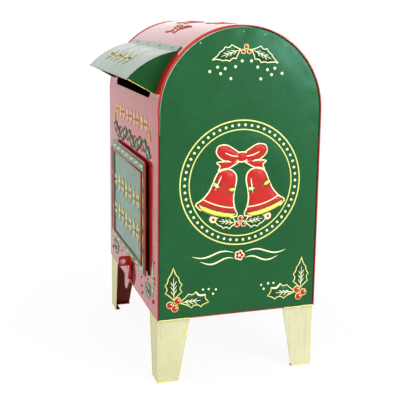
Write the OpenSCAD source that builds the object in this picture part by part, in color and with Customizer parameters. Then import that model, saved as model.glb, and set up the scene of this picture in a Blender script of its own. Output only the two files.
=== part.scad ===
// Tin money box in the shape of a street letter box.
// The origin is the centre of the whole box's footprint, on the surface that the feet stand on.
// +Z is up, the door faces -Y, and all sizes are in millimetres.

/* [Body] */
// Width of the body across the door wall
body_w = 138; // [120:1:180]
// Depth of the body, which is also the diameter of the arched roof
body_d = 100; // [90:1:130]
// Height of the straight walls, from their bottom edge to the start of the roof
wall_h = 121.2; // [112:0.2:160]
// Thickness of the tin sheet
sheet_t = 0.6; // [0.4:0.1:0.8]
// Clearance between two sheets that lie against each other
fit_gap = 0.1; // [0.05:0.01:0.15]

/* [Side panels] */
// Depth of a side panel's face behind the edge of the wrapped sheet
panel_recess = 0.3; // [0:0.1:1]
// Depth of the folded rim behind a side panel
rim_d = 5; // [3:0.5:8]
// Number of notches in the rim round the arch
rim_notches = 11; // [5:1:17]
// Width of one notch
rim_notch_w = 1.4; // [0.8:0.1:3]

/* [Floor] */
// Height of the floor's upper face above the body's bottom edge
floor_z = 10; // [8:0.5:12]
// Depth of the floor's folded rim
floor_rim = 5; // [3:0.5:7]

/* [Legs] */
// Height of the body's bottom edge above the surface below
leg_h = 39.4; // [25:0.2:60]
// Width of a leg's flange at the body
leg_top_w = 19.7; // [16:0.1:24]
// Width of a leg's flange at the foot
leg_foot_w = 12.6; // [9:0.1:15]
// Depth of the lip turned in under a foot
foot_lip = 3; // [2:0.1:5]
// Width of the tabs that hold a leg to the floor
leg_tab_w = 6; // [4:0.5:8]
// Length of a tab that is bent over on the floor
leg_tab_bend = 4.5; // [3:0.5:6]

/* [Letter slot] */
// Width of wall left beside the slot, on each side
slot_inset = 22; // [19:0.5:40]
// Height of the slot
slot_h = 9; // [5:0.5:11]
// Height of the slot's lower edge above the start of the roof
slot_rise = 7.1; // [5:0.1:9]
// Size of the slot's cut corners
slot_corner = 2; // [0.5:0.5:2.4]

/* [Hood] */
// Width of roof left beside the hood, on each side
hood_inset = 10; // [8.5:0.5:14]
// Reach of the hood's lip in front of the door wall
hood_reach = 16; // [12:0.5:22]
// Height of the hood's lip above the start of the roof
lip_rise = 19.6; // [18:0.2:24]
// Radius of the hood's curved top
hood_r = 51; // [46:1:70]
// Angle up the roof at which the hood's top leaves it
hood_root_a = 44.6; // [41:0.1:48]
// Angle up the roof at which the hood's cheeks start
cheek_foot_a = 12; // [9:0.5:14]
// Width of the flange by which the hood's top is riveted to the roof
hood_flange = 2.8; // [2.6:0.1:6]
// Width of the flanges by which the cheeks are riveted to the roof
cheek_flange = 6; // [5:0.5:8]
// Depth of the tabs turned in from a cheek's curved edge
cheek_tab_d = 4; // [2:0.5:6]
// Number of those tabs
cheek_tabs = 4; // [2:1:6]
// Radius of the rolled lip
lip_r = 0.6; // [0.5:0.1:1.2]

/* [Door] */
// Width of wall left beside the door, on each side
door_inset = 21.25; // [20.5:0.25:34]
// Height of the door
door_h = 70.2; // [54:0.2:80]
// Height of the door's bottom edge above the body's bottom edge
door_z = 20; // [19.5:0.5:24]
// Depth of the door's folded rim, measured from its front face
door_rim = 1.1; // [1:0.1:1.4]
// Gap between the door's rim and the wall behind it
door_gap = 1.9; // [1.7:0.1:2.4]
// Overlap of the door over the edge of the opening behind it
door_lap = 3.2; // [2.6:0.1:5]

/* [Hinge] */
// Radius of the hinge pin
pin_r = 0.6; // [0.4:0.05:0.8]
// Radial clearance of the pin in the knuckles that turn on it
pin_gap = 0.05; // [0.02:0.01:0.1]
// Wall of the rolled knuckles
knuckle_wall = 0.5; // [0.4:0.05:0.6]
// Length of each end knuckle, on the wall's leaf
knuckle_end_l = 12; // [8:0.5:16]
// Distance from the door's edges to the end knuckles
knuckle_inset = 5.5; // [3:0.5:9]
// Width of the hinge leaves
leaf_w = 9; // [7:0.5:12]

/* [Lock tab] */
// Reach of the lock tab in front of the wall
lock_reach = 8.5; // [6:0.5:12]
// Height of the lock tab
lock_h = 6.6; // [5.6:0.1:7.5]
// Gap between the door's bottom edge and the lock tab
lock_gap = 0.9; // [0.5:0.1:2]
// Bore of the eyelet in the lock tab
lock_bore_r = 1.1; // [0.8:0.05:1.4]
// Reach of the rib below the lock tab
lock_rib = 1.3; // [1:0.1:3]

/* [Tongue] */
// Length of the tongue that hangs from the door wall's bottom edge
tongue_l = 9.2; // [5:0.1:12]
// Width of the tongue at the wall's edge
tongue_w = 14.2; // [12:0.2:20]
// Width of the tongue's blunt tip
tongue_tip_w = 6; // [4:0.5:9]
// Distance of the tongue's outer edge from the middle of the wall
tongue_x = 20.6; // [20:0.1:30]
// Width of the gap beside the tongue at the wall's bottom edge
gap_foot_w = 7; // [5:0.5:8]
// Width of that gap at its top, under the lock tab
gap_top_w = 3.2; // [2.4:0.1:4]

/* [Catch] */
// Width of the springy door catch
catch_w = 12; // [8:1:20]
// Reach of the catch behind the wall's outer face
catch_reach = 5; // [3:0.5:8]

/* [Rivets] */
// Radius of the hood's and the hinge's rivet heads
rivet_r = 1.1; // [1:0.05:1.2]
// Height of a rivet head
rivet_h = 0.5; // [0.4:0.05:0.6]
// Radius of a rivet's shank
shank_r = 0.6; // [0.5:0.05:0.7]

/* [Hidden] */
$fn = 96;
eps = 0.01;
cut = 1;                               // how far a cutting shape runs past what it cuts
roof_r = body_d / 2;
slot_w = body_w - 2 * slot_inset;
slot_z = wall_h + slot_rise;
slot_cut_d = 9;                        // depth of the cut for the slot, past the curve of the roof
hood_w = body_w - 2 * hood_inset;
lip_z = wall_h + lip_rise;
door_w = body_w - 2 * door_inset;
half_w = body_w / 2;
half_d = body_d / 2;
hole_gap = 0.05;                       // radial clearance of rivets and eyelets in their holes
rivet_tail = [0.85, 0.7];              // radius and height of a rivet's tail, as shares of its head's

// The whole box is moved back by half the hood's reach, so that the origin is under its middle
body_y = hood_reach / 2;

// Side panels: the face lies inside the edge of the wrapped sheet
panel_x = half_w - panel_recess;
rim_a0 = 14;
rim_step = (180 - 2 * rim_a0) / (rim_notches - 1);

// Legs stand inside the skirt, against the door wall, the back wall and the side panels
leg_x = panel_x - sheet_t - fit_gap;
leg_y = half_d - sheet_t - fit_gap;
leg_up = floor_z - sheet_t - fit_gap;  // how far a leg runs up inside the skirt
leg_tab_part = 0.55;                   // share of a leg's width at which its tabs stand
leg_tab_at = leg_top_w * leg_tab_part; // distance of a tab's middle from the leg's corner
tab_slack = 0.4;                       // extra width of the floor's notches for the tabs

// Hood: the top is an arc of radius hood_r from the lip to the roof, seen from the side
lip = [-half_d - hood_reach + lip_r, lip_z];
root = [-roof_r * cos(hood_root_a), wall_h + roof_r * sin(hood_root_a)];
chord = root - lip;
chord_l = norm(chord);
chord_dir = chord / chord_l;
hood_c = (lip + root) / 2
    + [chord_dir[1], -chord_dir[0]] * sqrt(hood_r * hood_r - chord_l * chord_l / 4);
cheek_x = hood_w / 2 - fit_gap;
cheek_foot = [-roof_r * cos(cheek_foot_a), wall_h + roof_r * sin(cheek_foot_a)];
flange_r = roof_r + fit_gap;           // inner radius of every flange that lies on the roof
flange_span = hood_flange / roof_r * 180 / PI;
hood_overlap_a = [1, 2];               // angles by which the hood's top and its flange run into each other
top_rivets = 4;
top_rivet_a = hood_root_a + flange_span / 2;
cheek_rivet_in = [8, 9];               // angles from a cheek's two ends to its rivets
cheek_rivet_a = [cheek_foot_a + cheek_rivet_in[0], hood_root_a - cheek_rivet_in[1]];
cheek_end_a = [3, 6];                  // angles from the hood's lip and root to the cheek's tabs
cheek_tab_part = 0.8;                  // share of its pitch that a cheek's tab fills
cheek_flange_end_a = [1.5, 4];         // angles from a cheek's foot and root to its flange's ends

// Door
door_face_y = -half_d - door_gap - door_rim;
door_x = door_w / 2;
door_top = door_z + door_h;
open_x = door_x - door_lap;
open_z0 = door_z + door_lap;
open_z1 = door_top - door_lap;

// Hinge: a pin beside the door's left edge, in front of the wall
bore_r = pin_r + pin_gap;
knuckle_r = bore_r + knuckle_wall;
knuckle_gap = 0.3;
knuckle_side_gap = 0.35;               // gap between the knuckles and the door's edge
knuckle_wall_gap = 0.75;               // gap between the knuckles and the wall
pin_x = -door_x - knuckle_r - knuckle_side_gap;
pin_y = -half_d - knuckle_r - knuckle_wall_gap;
knuckle_z = [door_z + knuckle_inset, door_top - knuckle_inset - knuckle_end_l];
door_knuckle_z0 = knuckle_z[0] + knuckle_end_l + knuckle_gap;
door_knuckle_z1 = knuckle_z[1] - knuckle_gap;
pin_over = 0.5;
leaf_gap = 0.05;
wall_leaf_y = -half_d + sheet_t + leaf_gap;
door_leaf_y = door_face_y + sheet_t + leaf_gap;
leaf_rivet_inset = 5;
wall_leaf_x = pin_x - leaf_w;

tongue_nip = 1;                        // how far the corners of the tongue's tip are nipped up
gap_foot_x = 0.6;                      // inner edge of the gap beside the tongue, at the wall's bottom edge
gap_top_x = 2.4;                       // the same under the lock tab
nick_x = [-13.8, -9.4];                // ends of the nick in the wall behind the lock tab
nick_tip = [-12, 4];
nick_h = 14;

// Catch
catch_gap = 0.8;                       // clearance of the catch beside the opening's edge
catch_x = open_x - catch_gap;
catch_z = door_z + door_h / 2;
catch_bump_r = 0.5;
catch_bump_out = 0.15;                 // how far the bump's middle lies outside the strip's
catch_leaf = 8;

// Lock tab
lock_z = door_z - lock_gap - lock_h;
lock_hole_part = 0.66;                 // share of the tab's reach at which its hole is
lock_hole_y = -half_d - lock_reach * lock_hole_part;
lock_hole_z = lock_z + lock_h / 2;
lock_corner = 1.5;
eyelet_wall = 0.35;
eyelet_lip_r = 1.95;
eyelet_lip_h = 0.3;
lock_foot_w = 7;
rib_foot_x = gap_foot_x - gap_foot_w;  // the rib runs down along the gap's outer edge

CORNERS = [["front_right", 1, -1], ["front_left", -1, -1], ["back_right", 1, 1], ["back_left", -1, 1]];

// ---------- placing and shared shapes ----------

// Puts what is drawn from the body's bottom edge and centre into the part's own frame
module place() {
    translate([0, body_y, leg_h]) children();
}

// Extrudes an outline drawn in Y and Z along X, centred on x
module along_x(length, x = 0) {
    translate([x - length / 2, 0, 0]) rotate([90, 0, 90]) linear_extrude(length) children();
}

// The body's outline seen from the side, drawn in by inset and starting at height z0
module side_outline(inset = 0, z0 = 0) {
    r = roof_r - inset;
    translate([0, wall_h]) intersection() {
        circle(r);
        translate([-r, 0]) square([2 * r, r]);
    }
    translate([-r, z0]) square([2 * r, wall_h - z0]);
}

// Puts a child on the roof at x, at angle a above the level of the roof's start, with +Z outwards
module on_roof(x, a) {
    translate([x, 0, wall_h]) rotate([90 - a, 0, 0]) translate([0, 0, roof_r]) children();
}

// A round-headed rivet through sheets of thickness grip; its upper head sits on z = 0
module rivet(grip, seat = 0.05) {
    sphere_r = (rivet_r * rivet_r + rivet_h * rivet_h) / (2 * rivet_h);
    tail_r = rivet_r * rivet_tail[0];
    tail_h = rivet_h * rivet_tail[1];
    translate([0, 0, seat]) intersection() {
        translate([0, 0, rivet_h - sphere_r]) sphere(sphere_r);
        cylinder(h = rivet_h + cut, r = rivet_r);
    }
    translate([0, 0, -grip - seat - eps]) cylinder(h = grip + 2 * seat + 2 * eps, r = shank_r);
    translate([0, 0, -grip - seat - tail_h]) cylinder(h = tail_h, r = tail_r);
}

// The hole for one rivet
module rivet_hole() {
    translate([0, 0, -2 * cut]) cylinder(h = 4 * cut, r = shank_r + hole_gap);
}

// ---------- body ----------

// One sheet wrapped over the front, the roof and the back
module body_shell() {
    color("firebrick") place() difference() {
        union() {
            along_x(body_w) difference() {
                side_outline();
                side_outline(sheet_t, -cut);
            }
            tongue();
        }
        slot_cut();
        translate([-open_x, -half_d - cut, open_z0]) cube([2 * open_x, sheet_t + 2 * cut, open_z1 - open_z0]);
        for (z = knuckle_z)
            translate([pin_x - sheet_t, -half_d - cut, z - knuckle_gap])
                cube([2 * sheet_t, sheet_t + 2 * cut, knuckle_end_l + 2 * knuckle_gap]);
        translate([-sheet_t / 2 - fit_gap, -half_d - cut, lock_z - fit_gap])
            cube([sheet_t + 2 * fit_gap, sheet_t + 2 * cut, lock_h + 2 * fit_gap]);
        tongue_cuts();
        wall_rivet_places() rivet_hole();
        hood_rivet_places() rivet_hole();
    }
}

// A flat shape in the door wall, its height measured from the wall's bottom edge
module in_wall(over = 0) {
    translate([0, -half_d + sheet_t + over, 0]) rotate([90, 0, 0]) linear_extrude(sheet_t + 2 * over) children();
}

// The blunt tongue of the wall's sheet that hangs below its bottom edge, left of the lock tab
module tongue() {
    in_wall() translate([-tongue_x, 0])
        polygon([
            [0, cut], [0, -tongue_l + tongue_nip], [tongue_tip_w / 3, -tongue_l],
            [tongue_tip_w, -tongue_l + tongue_nip / 2], [tongue_w, 0], [tongue_w, cut],
        ]);
}

// The gap that frees the tongue on the door's side, and the nick behind the lock tab
module tongue_cuts() {
    in_wall(cut) {
        polygon([
            [gap_foot_x - gap_foot_w, -cut], [gap_foot_x, -cut],
            [gap_top_x, lock_z], [gap_top_x - gap_top_w, lock_z],
        ]);
        polygon([[nick_x[0], nick_h], [nick_x[1], nick_h], nick_tip]);
    }
}

// The slot for letters and coins, with cut corners, through the front of the roof
module slot_cut() {
    x = slot_w / 2;
    c = slot_corner;
    translate([0, -half_d + slot_cut_d, slot_z]) rotate([90, 0, 0])
        linear_extrude(slot_cut_d + cut)
            polygon([
                [-x + c, 0], [x - c, 0], [x, c], [x, slot_h - c],
                [x - c, slot_h], [-x + c, slot_h], [-x, slot_h - c], [-x, c],
            ]);
}

// A side panel: a flat plate with a folded rim, notched where it follows the arch
module side_panel(side) {
    inset = sheet_t + fit_gap;
    place() mirror([side < 0 ? 1 : 0, 0, 0]) {
        difference() {
            along_x(sheet_t + rim_d, panel_x - (sheet_t + rim_d) / 2) side_outline(inset, 0);
            along_x(rim_d + cut, panel_x - sheet_t - (rim_d + cut) / 2)
                side_outline(inset + sheet_t, -cut);
            translate([panel_x - sheet_t - rim_d - cut, -half_d, -cut])
                cube([rim_d + cut, body_d, floor_z + fit_gap + cut]);
            for (i = [0 : rim_notches - 1])
                translate([panel_x - sheet_t - rim_d - cut, 0, wall_h])
                    rotate([90 - rim_a0 - i * rim_step, 0, 0])
                        translate([0, -rim_notch_w / 2, roof_r - inset - sheet_t - cut])
                            cube([rim_d + cut, rim_notch_w, sheet_t + 2 * cut]);
        }
    }
}

module right_side_panel() {
    color("seagreen") side_panel(1);
}

module left_side_panel() {
    color("seagreen") side_panel(-1);
}

// The floor: a plate with rims folded down between the legs, and notches for the legs' tabs
module floor_pan() {
    rim_x = leg_x - leg_top_w - tab_slack;
    rim_y = leg_y - leg_top_w - tab_slack;
    color("indianred") place() {
        difference() {
            translate([-leg_x, -leg_y, floor_z - sheet_t]) cube([2 * leg_x, 2 * leg_y, sheet_t]);
            for (c = CORNERS) corner_at(c) {
                translate([-leg_tab_at - (leg_tab_w + tab_slack) / 2, -cut, floor_z - sheet_t - cut])
                    cube([leg_tab_w + tab_slack, cut + sheet_t + fit_gap, sheet_t + 2 * cut]);
                translate([-sheet_t - fit_gap, leg_tab_at - (leg_tab_w + tab_slack) / 2, floor_z - sheet_t - cut])
                    cube([cut + sheet_t + fit_gap, leg_tab_w + tab_slack, sheet_t + 2 * cut]);
            }
        }
        for (s = [-1, 1]) {
            translate([-rim_x, s * (leg_y - sheet_t / 2) - sheet_t / 2, floor_z - floor_rim])
                cube([2 * rim_x, sheet_t, floor_rim - eps]);
            translate([s * (leg_x - sheet_t / 2) - sheet_t / 2, -rim_y, floor_z - floor_rim])
                cube([sheet_t, 2 * rim_y, floor_rim - eps]);
        }
    }
}

// ---------- legs ----------

// Turns a shape drawn for a corner whose flanges run to -X and +Y into the given corner
module corner_at(c) {
    mirror([c[1] < 0 ? 1 : 0, 0, 0]) mirror([0, c[2] > 0 ? 1 : 0, 0])
        translate([leg_x, -leg_y, 0]) children();
}

// One flange's outline: straight inside the skirt, tapering below it
module leg_outline() {
    polygon([
        [0, -leg_h], [leg_foot_w, -leg_h], [leg_top_w, 0], [leg_top_w, leg_up], [0, leg_up],
    ]);
}

// A tab that passes the floor's edge and is bent over on top of it, drawn along +X at y = 0
module leg_tab() {
    top = floor_z + leaf_gap + sheet_t;
    translate([-leg_tab_w / 2, 0, leg_up - eps]) cube([leg_tab_w, sheet_t, top - leg_up + eps]);
    translate([-leg_tab_w / 2, 0, top - sheet_t]) cube([leg_tab_w, leg_tab_bend, sheet_t]);
}

// A leg: an angle of sheet with a lip turned in under each flange
module leg(c) {
    color("cornsilk") place() corner_at(c) {
        rotate([90, 0, 0]) translate([0, 0, -sheet_t]) mirror([1, 0, 0])
            linear_extrude(sheet_t) leg_outline();
        rotate([90, 0, 90]) translate([0, 0, -sheet_t]) linear_extrude(sheet_t) leg_outline();
        translate([-leg_foot_w, 0, -leg_h]) cube([leg_foot_w, foot_lip, sheet_t]);
        translate([-foot_lip, 0, -leg_h]) cube([foot_lip, leg_foot_w, sheet_t]);
        translate([-leg_tab_at, 0, 0]) leg_tab();
        translate([0, leg_tab_at, 0]) rotate([0, 0, 90]) leg_tab();
    }
}

module front_right_leg() {
    leg(CORNERS[0]);
}

module front_left_leg() {
    leg(CORNERS[1]);
}

module back_right_leg() {
    leg(CORNERS[2]);
}

module back_left_leg() {
    leg(CORNERS[3]);
}

// ---------- hood ----------

// Keeps the part of a side view that lies in a wedge about centre c between two angles
module wedge(c, a0, a1, r) {
    intersection() {
        children();
        translate(c) polygon([
            [0, 0], [r * cos(a0), r * sin(a0)],
            [1.2 * r * cos((a0 + a1) / 2), 1.2 * r * sin((a0 + a1) / 2)],
            [r * cos(a1), r * sin(a1)],
        ]);
    }
}

// A ring about c, in side view
module ring(c, r_in, r_out) {
    translate(c) difference() {
        circle(r_out);
        circle(r_in);
    }
}

function angle_of(p) = atan2(p[1], p[0]);

// The curved top with its rolled lip, and the flange at the back that lies on the roof
module hood_top() {
    lip_a = angle_of(lip - hood_c);
    root_a = angle_of(root - hood_c);
    roof_c = [0, wall_h];
    roof_a = 180 - hood_root_a;
    color("mediumseagreen") place() difference() {
        union() {
            along_x(hood_w) difference() {
                wedge(hood_c, lip_a, root_a - hood_overlap_a[0], 2 * hood_r) ring(hood_c, hood_r - sheet_t, hood_r);
                translate(roof_c) circle(flange_r);
            }
            along_x(hood_w) wedge(roof_c, roof_a + hood_overlap_a[1], roof_a - flange_span, 2 * roof_r)
                ring(roof_c, flange_r, flange_r + sheet_t);
            translate([-hood_w / 2, lip[0], lip[1]]) rotate([0, 90, 0]) cylinder(h = hood_w, r = lip_r);
        }
        top_rivet_places() rivet_hole();
    }
}

// A cheek closes one end of the hood; its tabs lie under the top and its foot on the roof
module hood_cheek(side) {
    under_r = hood_r - sheet_t - fit_gap;
    roof_c = [0, wall_h];
    lip_a = angle_of(lip - hood_c) - cheek_end_a[0];
    root_a = angle_of(root - hood_c) + cheek_end_a[1];
    tab_step = (lip_a - root_a) / cheek_tabs;
    roof_a1 = 180 - cheek_foot_a - cheek_flange_end_a[0];
    roof_a0 = 180 - hood_root_a + cheek_flange_end_a[1];
    color("darkgreen") place() mirror([side < 0 ? 1 : 0, 0, 0]) difference() {
        union() {
            along_x(sheet_t, cheek_x - sheet_t / 2) cheek_outline();
            for (i = [0 : cheek_tabs - 1])
                along_x(cheek_tab_d, cheek_x - cheek_tab_d / 2)
                    wedge(hood_c, root_a + i * tab_step, root_a + (i + cheek_tab_part) * tab_step, 2 * hood_r)
                        ring(hood_c, under_r - sheet_t, under_r);
            along_x(cheek_flange, cheek_x - cheek_flange / 2)
                wedge(roof_c, roof_a1, roof_a0, 2 * roof_r) ring(roof_c, flange_r, flange_r + sheet_t);
        }
        for (a = cheek_rivet_a) on_roof(cheek_x - cheek_flange / 2, a) rivet_hole();
    }
}

// The cheek's outline: under the hood's top, above its slanted lower edge, outside the roof
module cheek_outline() {
    under_r = hood_r - sheet_t - fit_gap;
    far_back = [0, wall_h + roof_r];
    difference() {
        intersection() {
            translate(hood_c) circle(under_r);
            polygon([
                lip + [0, lip_r], cheek_foot, [0, cheek_foot[1]], far_back, [lip[0], far_back[1]],
            ]);
        }
        translate([0, wall_h]) circle(flange_r);
        translate(lip) circle(lip_r + fit_gap);
    }
}

module hood_right_cheek() {
    hood_cheek(1);
}

module hood_left_cheek() {
    hood_cheek(-1);
}

// Where the rivets of the hood's back flange go
module top_rivet_places() {
    for (i = [0 : top_rivets - 1])
        on_roof(hood_w * ((i + 0.5) / top_rivets - 0.5), top_rivet_a) children();
}

// Where all the hood's rivets go
module hood_rivet_places() {
    top_rivet_places() children();
    for (s = [-1, 1], a = cheek_rivet_a) on_roof(s * (cheek_x - cheek_flange / 2), a) children();
}

module hood_rivets() {
    seat = 0.06;
    color("gainsboro") place() hood_rivet_places()
        translate([0, 0, fit_gap + sheet_t]) rivet(2 * sheet_t + fit_gap, seat);
}

// ---------- lock tab ----------

// The tab under the door that a small padlock goes through, with its rib and its foot inside
module lock_tab() {
    far = -half_d - lock_reach;
    color("darkred") place() difference() {
        union() {
            along_x(sheet_t) {
                translate([far + lock_corner, lock_z])
                    square([lock_reach - lock_corner + sheet_t + leaf_gap + eps, lock_h]);
                translate([far, lock_z + lock_corner]) square([lock_corner + eps, lock_h - 2 * lock_corner]);
                for (z = [lock_z + lock_corner, lock_z + lock_h - lock_corner])
                    translate([far + lock_corner, z]) circle(lock_corner);
            }
            translate([0, -half_d - leaf_gap, 0]) rotate([90, 0, 0]) linear_extrude(lock_rib - leaf_gap)
                polygon([
                    [rib_foot_x, cut], [rib_foot_x + sheet_t, cut],
                    [sheet_t / 2, lock_z + eps], [-sheet_t / 2, lock_z + eps],
                ]);
            translate([-sheet_t / 2, -half_d + sheet_t + leaf_gap, lock_z])
                cube([lock_foot_w, sheet_t, lock_h]);
        }
        translate([0, lock_hole_y, lock_hole_z]) rotate([0, 90, 0])
            cylinder(h = sheet_t + 2 * cut, r = lock_bore_r + eyelet_wall + hole_gap, center = true);
    }
}

// The eyelet that lines the hole in the lock tab
module lock_eyelet() {
    lip_x = sheet_t / 2 + leaf_gap;
    color("silver") place() translate([0, lock_hole_y, lock_hole_z]) rotate([0, 90, 0]) difference() {
        union() {
            cylinder(h = 2 * lip_x + eyelet_lip_h, r = lock_bore_r + eyelet_wall, center = true);
            for (s = [-1, 1])
                translate([0, 0, s * (lip_x + eyelet_lip_h / 2)])
                    cylinder(h = eyelet_lip_h, r = eyelet_lip_r, center = true);
        }
        cylinder(h = 4 * lip_x + cut, r = lock_bore_r, center = true);
    }
}

// ---------- hinge ----------

// A rolled knuckle about the hinge's axis, from z0 up
module knuckle(z0, length, grow = 0) {
    translate([pin_x, pin_y, z0]) cylinder(h = length, r = knuckle_r + grow);
}

module pin_bore(r) {
    translate([pin_x, pin_y, door_z]) cylinder(h = door_h, r = r);
}

// Where the rivets through the wall and its hinge leaf go, with +Z out of the wall
module wall_rivet_places() {
    for (z = knuckle_z)
        translate([wall_leaf_x + leaf_rivet_inset / 2 + 1, -half_d, z + knuckle_end_l / 2])
            rotate([90, 0, 0]) children();
}

// The leaf behind the wall, with two knuckles that come out through slots in the wall
module wall_hinge_leaf() {
    z0 = knuckle_z[0];
    color("gainsboro") place() difference() {
        union() {
            translate([wall_leaf_x, wall_leaf_y, z0])
                cube([leaf_w + sheet_t / 2, sheet_t, knuckle_z[1] + knuckle_end_l - z0]);
            for (z = knuckle_z) {
                translate([pin_x - sheet_t / 2, pin_y, z])
                    cube([sheet_t, wall_leaf_y + sheet_t - pin_y, knuckle_end_l]);
                knuckle(z, knuckle_end_l);
            }
        }
        pin_bore(bore_r);
        wall_rivet_places() rivet_hole();
    }
}

module wall_hinge_rivets() {
    color("gainsboro") place() wall_rivet_places() rivet(2 * sheet_t + leaf_gap);
}

// The pin, with a small head on top
module hinge_pin() {
    top = knuckle_z[1] + knuckle_end_l;
    color("silver") place() translate([pin_x, pin_y, 0]) {
        translate([0, 0, knuckle_z[0] - pin_over]) cylinder(h = top - knuckle_z[0] + 2 * pin_over, r = pin_r);
        translate([0, 0, top + leaf_gap]) cylinder(h = pin_over, r = knuckle_r);
    }
}

// ---------- door ----------

// The door: a shallow pan that stands in front of the wall, notched for its hinge leaf
module door_panel() {
    inner = sheet_t;
    color("forestgreen") place() difference() {
        translate([-door_x, door_face_y, door_z]) cube([door_w, door_rim, door_h]);
        translate([-door_x + inner, door_face_y + sheet_t, door_z + inner])
            cube([door_w - 2 * inner, door_rim, door_h - 2 * inner]);
        translate([-door_x - cut, door_face_y + sheet_t, door_knuckle_z0 - knuckle_gap / 2])
            cube([inner + 2 * cut, door_rim, door_knuckle_z1 - door_knuckle_z0 + knuckle_gap]);
        door_rivet_places() rivet_hole();
    }
}

// Where the rivets through the door and its hinge leaf go, with +Z out of the door's face
module door_rivet_places() {
    for (z = [door_knuckle_z0 + leaf_rivet_inset, door_knuckle_z1 - leaf_rivet_inset])
        translate([pin_x + leaf_w - leaf_rivet_inset / 2, door_face_y, z]) rotate([90, 0, 0]) children();
}

// The leaf inside the door, with the middle knuckle
module door_hinge_leaf() {
    length = door_knuckle_z1 - door_knuckle_z0;
    color("gainsboro") place() difference() {
        union() {
            translate([pin_x, door_leaf_y, door_knuckle_z0]) cube([leaf_w + leaf_rivet_inset / 2, sheet_t, length]);
            knuckle(door_knuckle_z0, length);
        }
        pin_bore(bore_r);
        door_rivet_places() rivet_hole();
    }
}

module door_hinge_rivets() {
    color("gainsboro") place() door_rivet_places() rivet(2 * sheet_t + leaf_gap);
}

// The springy catch: a strip spot-welded inside the door, whose bent end reaches behind the wall's edge
module door_catch() {
    tip_y = -half_d + catch_reach;
    color("gainsboro") place() translate([0, 0, catch_z - catch_w / 2]) {
        translate([catch_x - catch_leaf, door_leaf_y, 0]) cube([catch_leaf, sheet_t, catch_w]);
        translate([catch_x - sheet_t, door_leaf_y, 0]) cube([sheet_t, tip_y - door_leaf_y, catch_w]);
        translate([catch_x - sheet_t / 2 + catch_bump_out, tip_y - 2 * catch_bump_r, 0])
            cylinder(h = catch_w, r = catch_bump_r);
    }
}

// ---------- what is drawn ----------

body_shell();
right_side_panel();
left_side_panel();
floor_pan();
front_right_leg();
front_left_leg();
back_right_leg();
back_left_leg();
hood_top();
hood_right_cheek();
hood_left_cheek();
hood_rivets();
lock_tab();
lock_eyelet();
wall_hinge_leaf();
wall_hinge_rivets();
hinge_pin();
door_panel();
door_hinge_leaf();
door_hinge_rivets();
door_catch();
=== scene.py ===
"""Tin money box in the shape of a street letter box: skins, beads, ornament, finishes, camera and light."""

from __future__ import annotations

import logging
import math
from collections.abc import Callable, Sequence
from dataclasses import dataclass, field
from enum import Enum

import bmesh
import bpy
from mathutils import Matrix, Vector, noise
from mathutils.geometry import delaunay_2d_cdt

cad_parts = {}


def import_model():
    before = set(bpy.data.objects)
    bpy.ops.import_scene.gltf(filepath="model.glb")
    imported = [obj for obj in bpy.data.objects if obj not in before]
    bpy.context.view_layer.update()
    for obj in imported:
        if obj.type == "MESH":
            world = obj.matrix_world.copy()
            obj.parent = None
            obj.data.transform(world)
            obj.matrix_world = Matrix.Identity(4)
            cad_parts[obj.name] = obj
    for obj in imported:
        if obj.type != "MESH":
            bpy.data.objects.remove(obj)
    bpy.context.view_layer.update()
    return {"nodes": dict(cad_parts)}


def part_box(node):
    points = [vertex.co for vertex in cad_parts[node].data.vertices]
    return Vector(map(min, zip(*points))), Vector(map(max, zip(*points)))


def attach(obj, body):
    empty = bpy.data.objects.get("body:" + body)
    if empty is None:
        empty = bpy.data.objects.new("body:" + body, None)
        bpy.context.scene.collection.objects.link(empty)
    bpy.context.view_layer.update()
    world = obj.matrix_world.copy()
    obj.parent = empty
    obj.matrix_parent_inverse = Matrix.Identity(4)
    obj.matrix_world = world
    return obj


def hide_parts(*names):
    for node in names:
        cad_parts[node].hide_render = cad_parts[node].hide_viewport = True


LOG = logging.getLogger("money_box")
MM = 0.001
UP = Vector((0.0, 0.0, 1.0))

# Places of the box that several pieces share, in millimetres of the frame.
WALL_FOOT = 39.4  # height of the walls' foot, from which the drawings on them are measured
ROOF_CENTRE = (8.0, 160.6)  # y and z of the axis of the roof's arc
ROOF_RADIUS = 50.0
HOOD_CENTRE = (-20.27, 145.24)  # y and z of the axis of the hood's arc
HOOD_RADIUS = 51.0
HALF_SHEET = 0.3  # half the sheet's thickness; a sheet is painted outside beyond it and maroon within
LEGS = ("front_right_leg", "front_left_leg", "back_right_leg", "back_left_leg")

Point2 = tuple[float, float]
Shape = list[Point2]
Line = tuple[list[Vector], list[float], bool]  # points, half widths, and whether it runs back to its start


# --- small helpers -----------------------------------------------------------------------------


def linear(code: str) -> tuple[float, float, float, float]:
    """Turns an sRGB hex colour into linear values.

    Args:
        code: Colour as #rrggbb.

    Returns:
        Red, green, blue and an alpha of one.
    """
    parts = [int(code[i : i + 2], 16) / 255 for i in (1, 3, 5)]
    r, g, b = (c / 12.92 if c <= 0.04045 else ((c + 0.055) / 1.055) ** 2.4 for c in parts)
    return (r, g, b, 1.0)


def node(
    tree: bpy.types.NodeTree, kind: str, inputs: dict | None = None, **settings: object
) -> bpy.types.Node:
    """Adds a node to a tree.

    Args:
        tree: The tree that gets the node.
        kind: The node's type name.
        inputs: Sockets by name or number, each with a value or with a socket to link from.
        **settings: Attributes of the node itself.

    Returns:
        The new node.
    """
    made = tree.nodes.new(kind)
    for name, value in settings.items():
        setattr(made, name, value)
    for key, value in (inputs or {}).items():
        if isinstance(value, bpy.types.NodeSocket):
            tree.links.new(value, made.inputs[key])
        else:
            made.inputs[key].default_value = value
    return made


def eased(share: float) -> float:
    """Keeps a share between nought and one, and rounds off its two ends."""
    t = min(max(share, 0.0), 1.0)
    return t * t * (3 - 2 * t)


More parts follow.
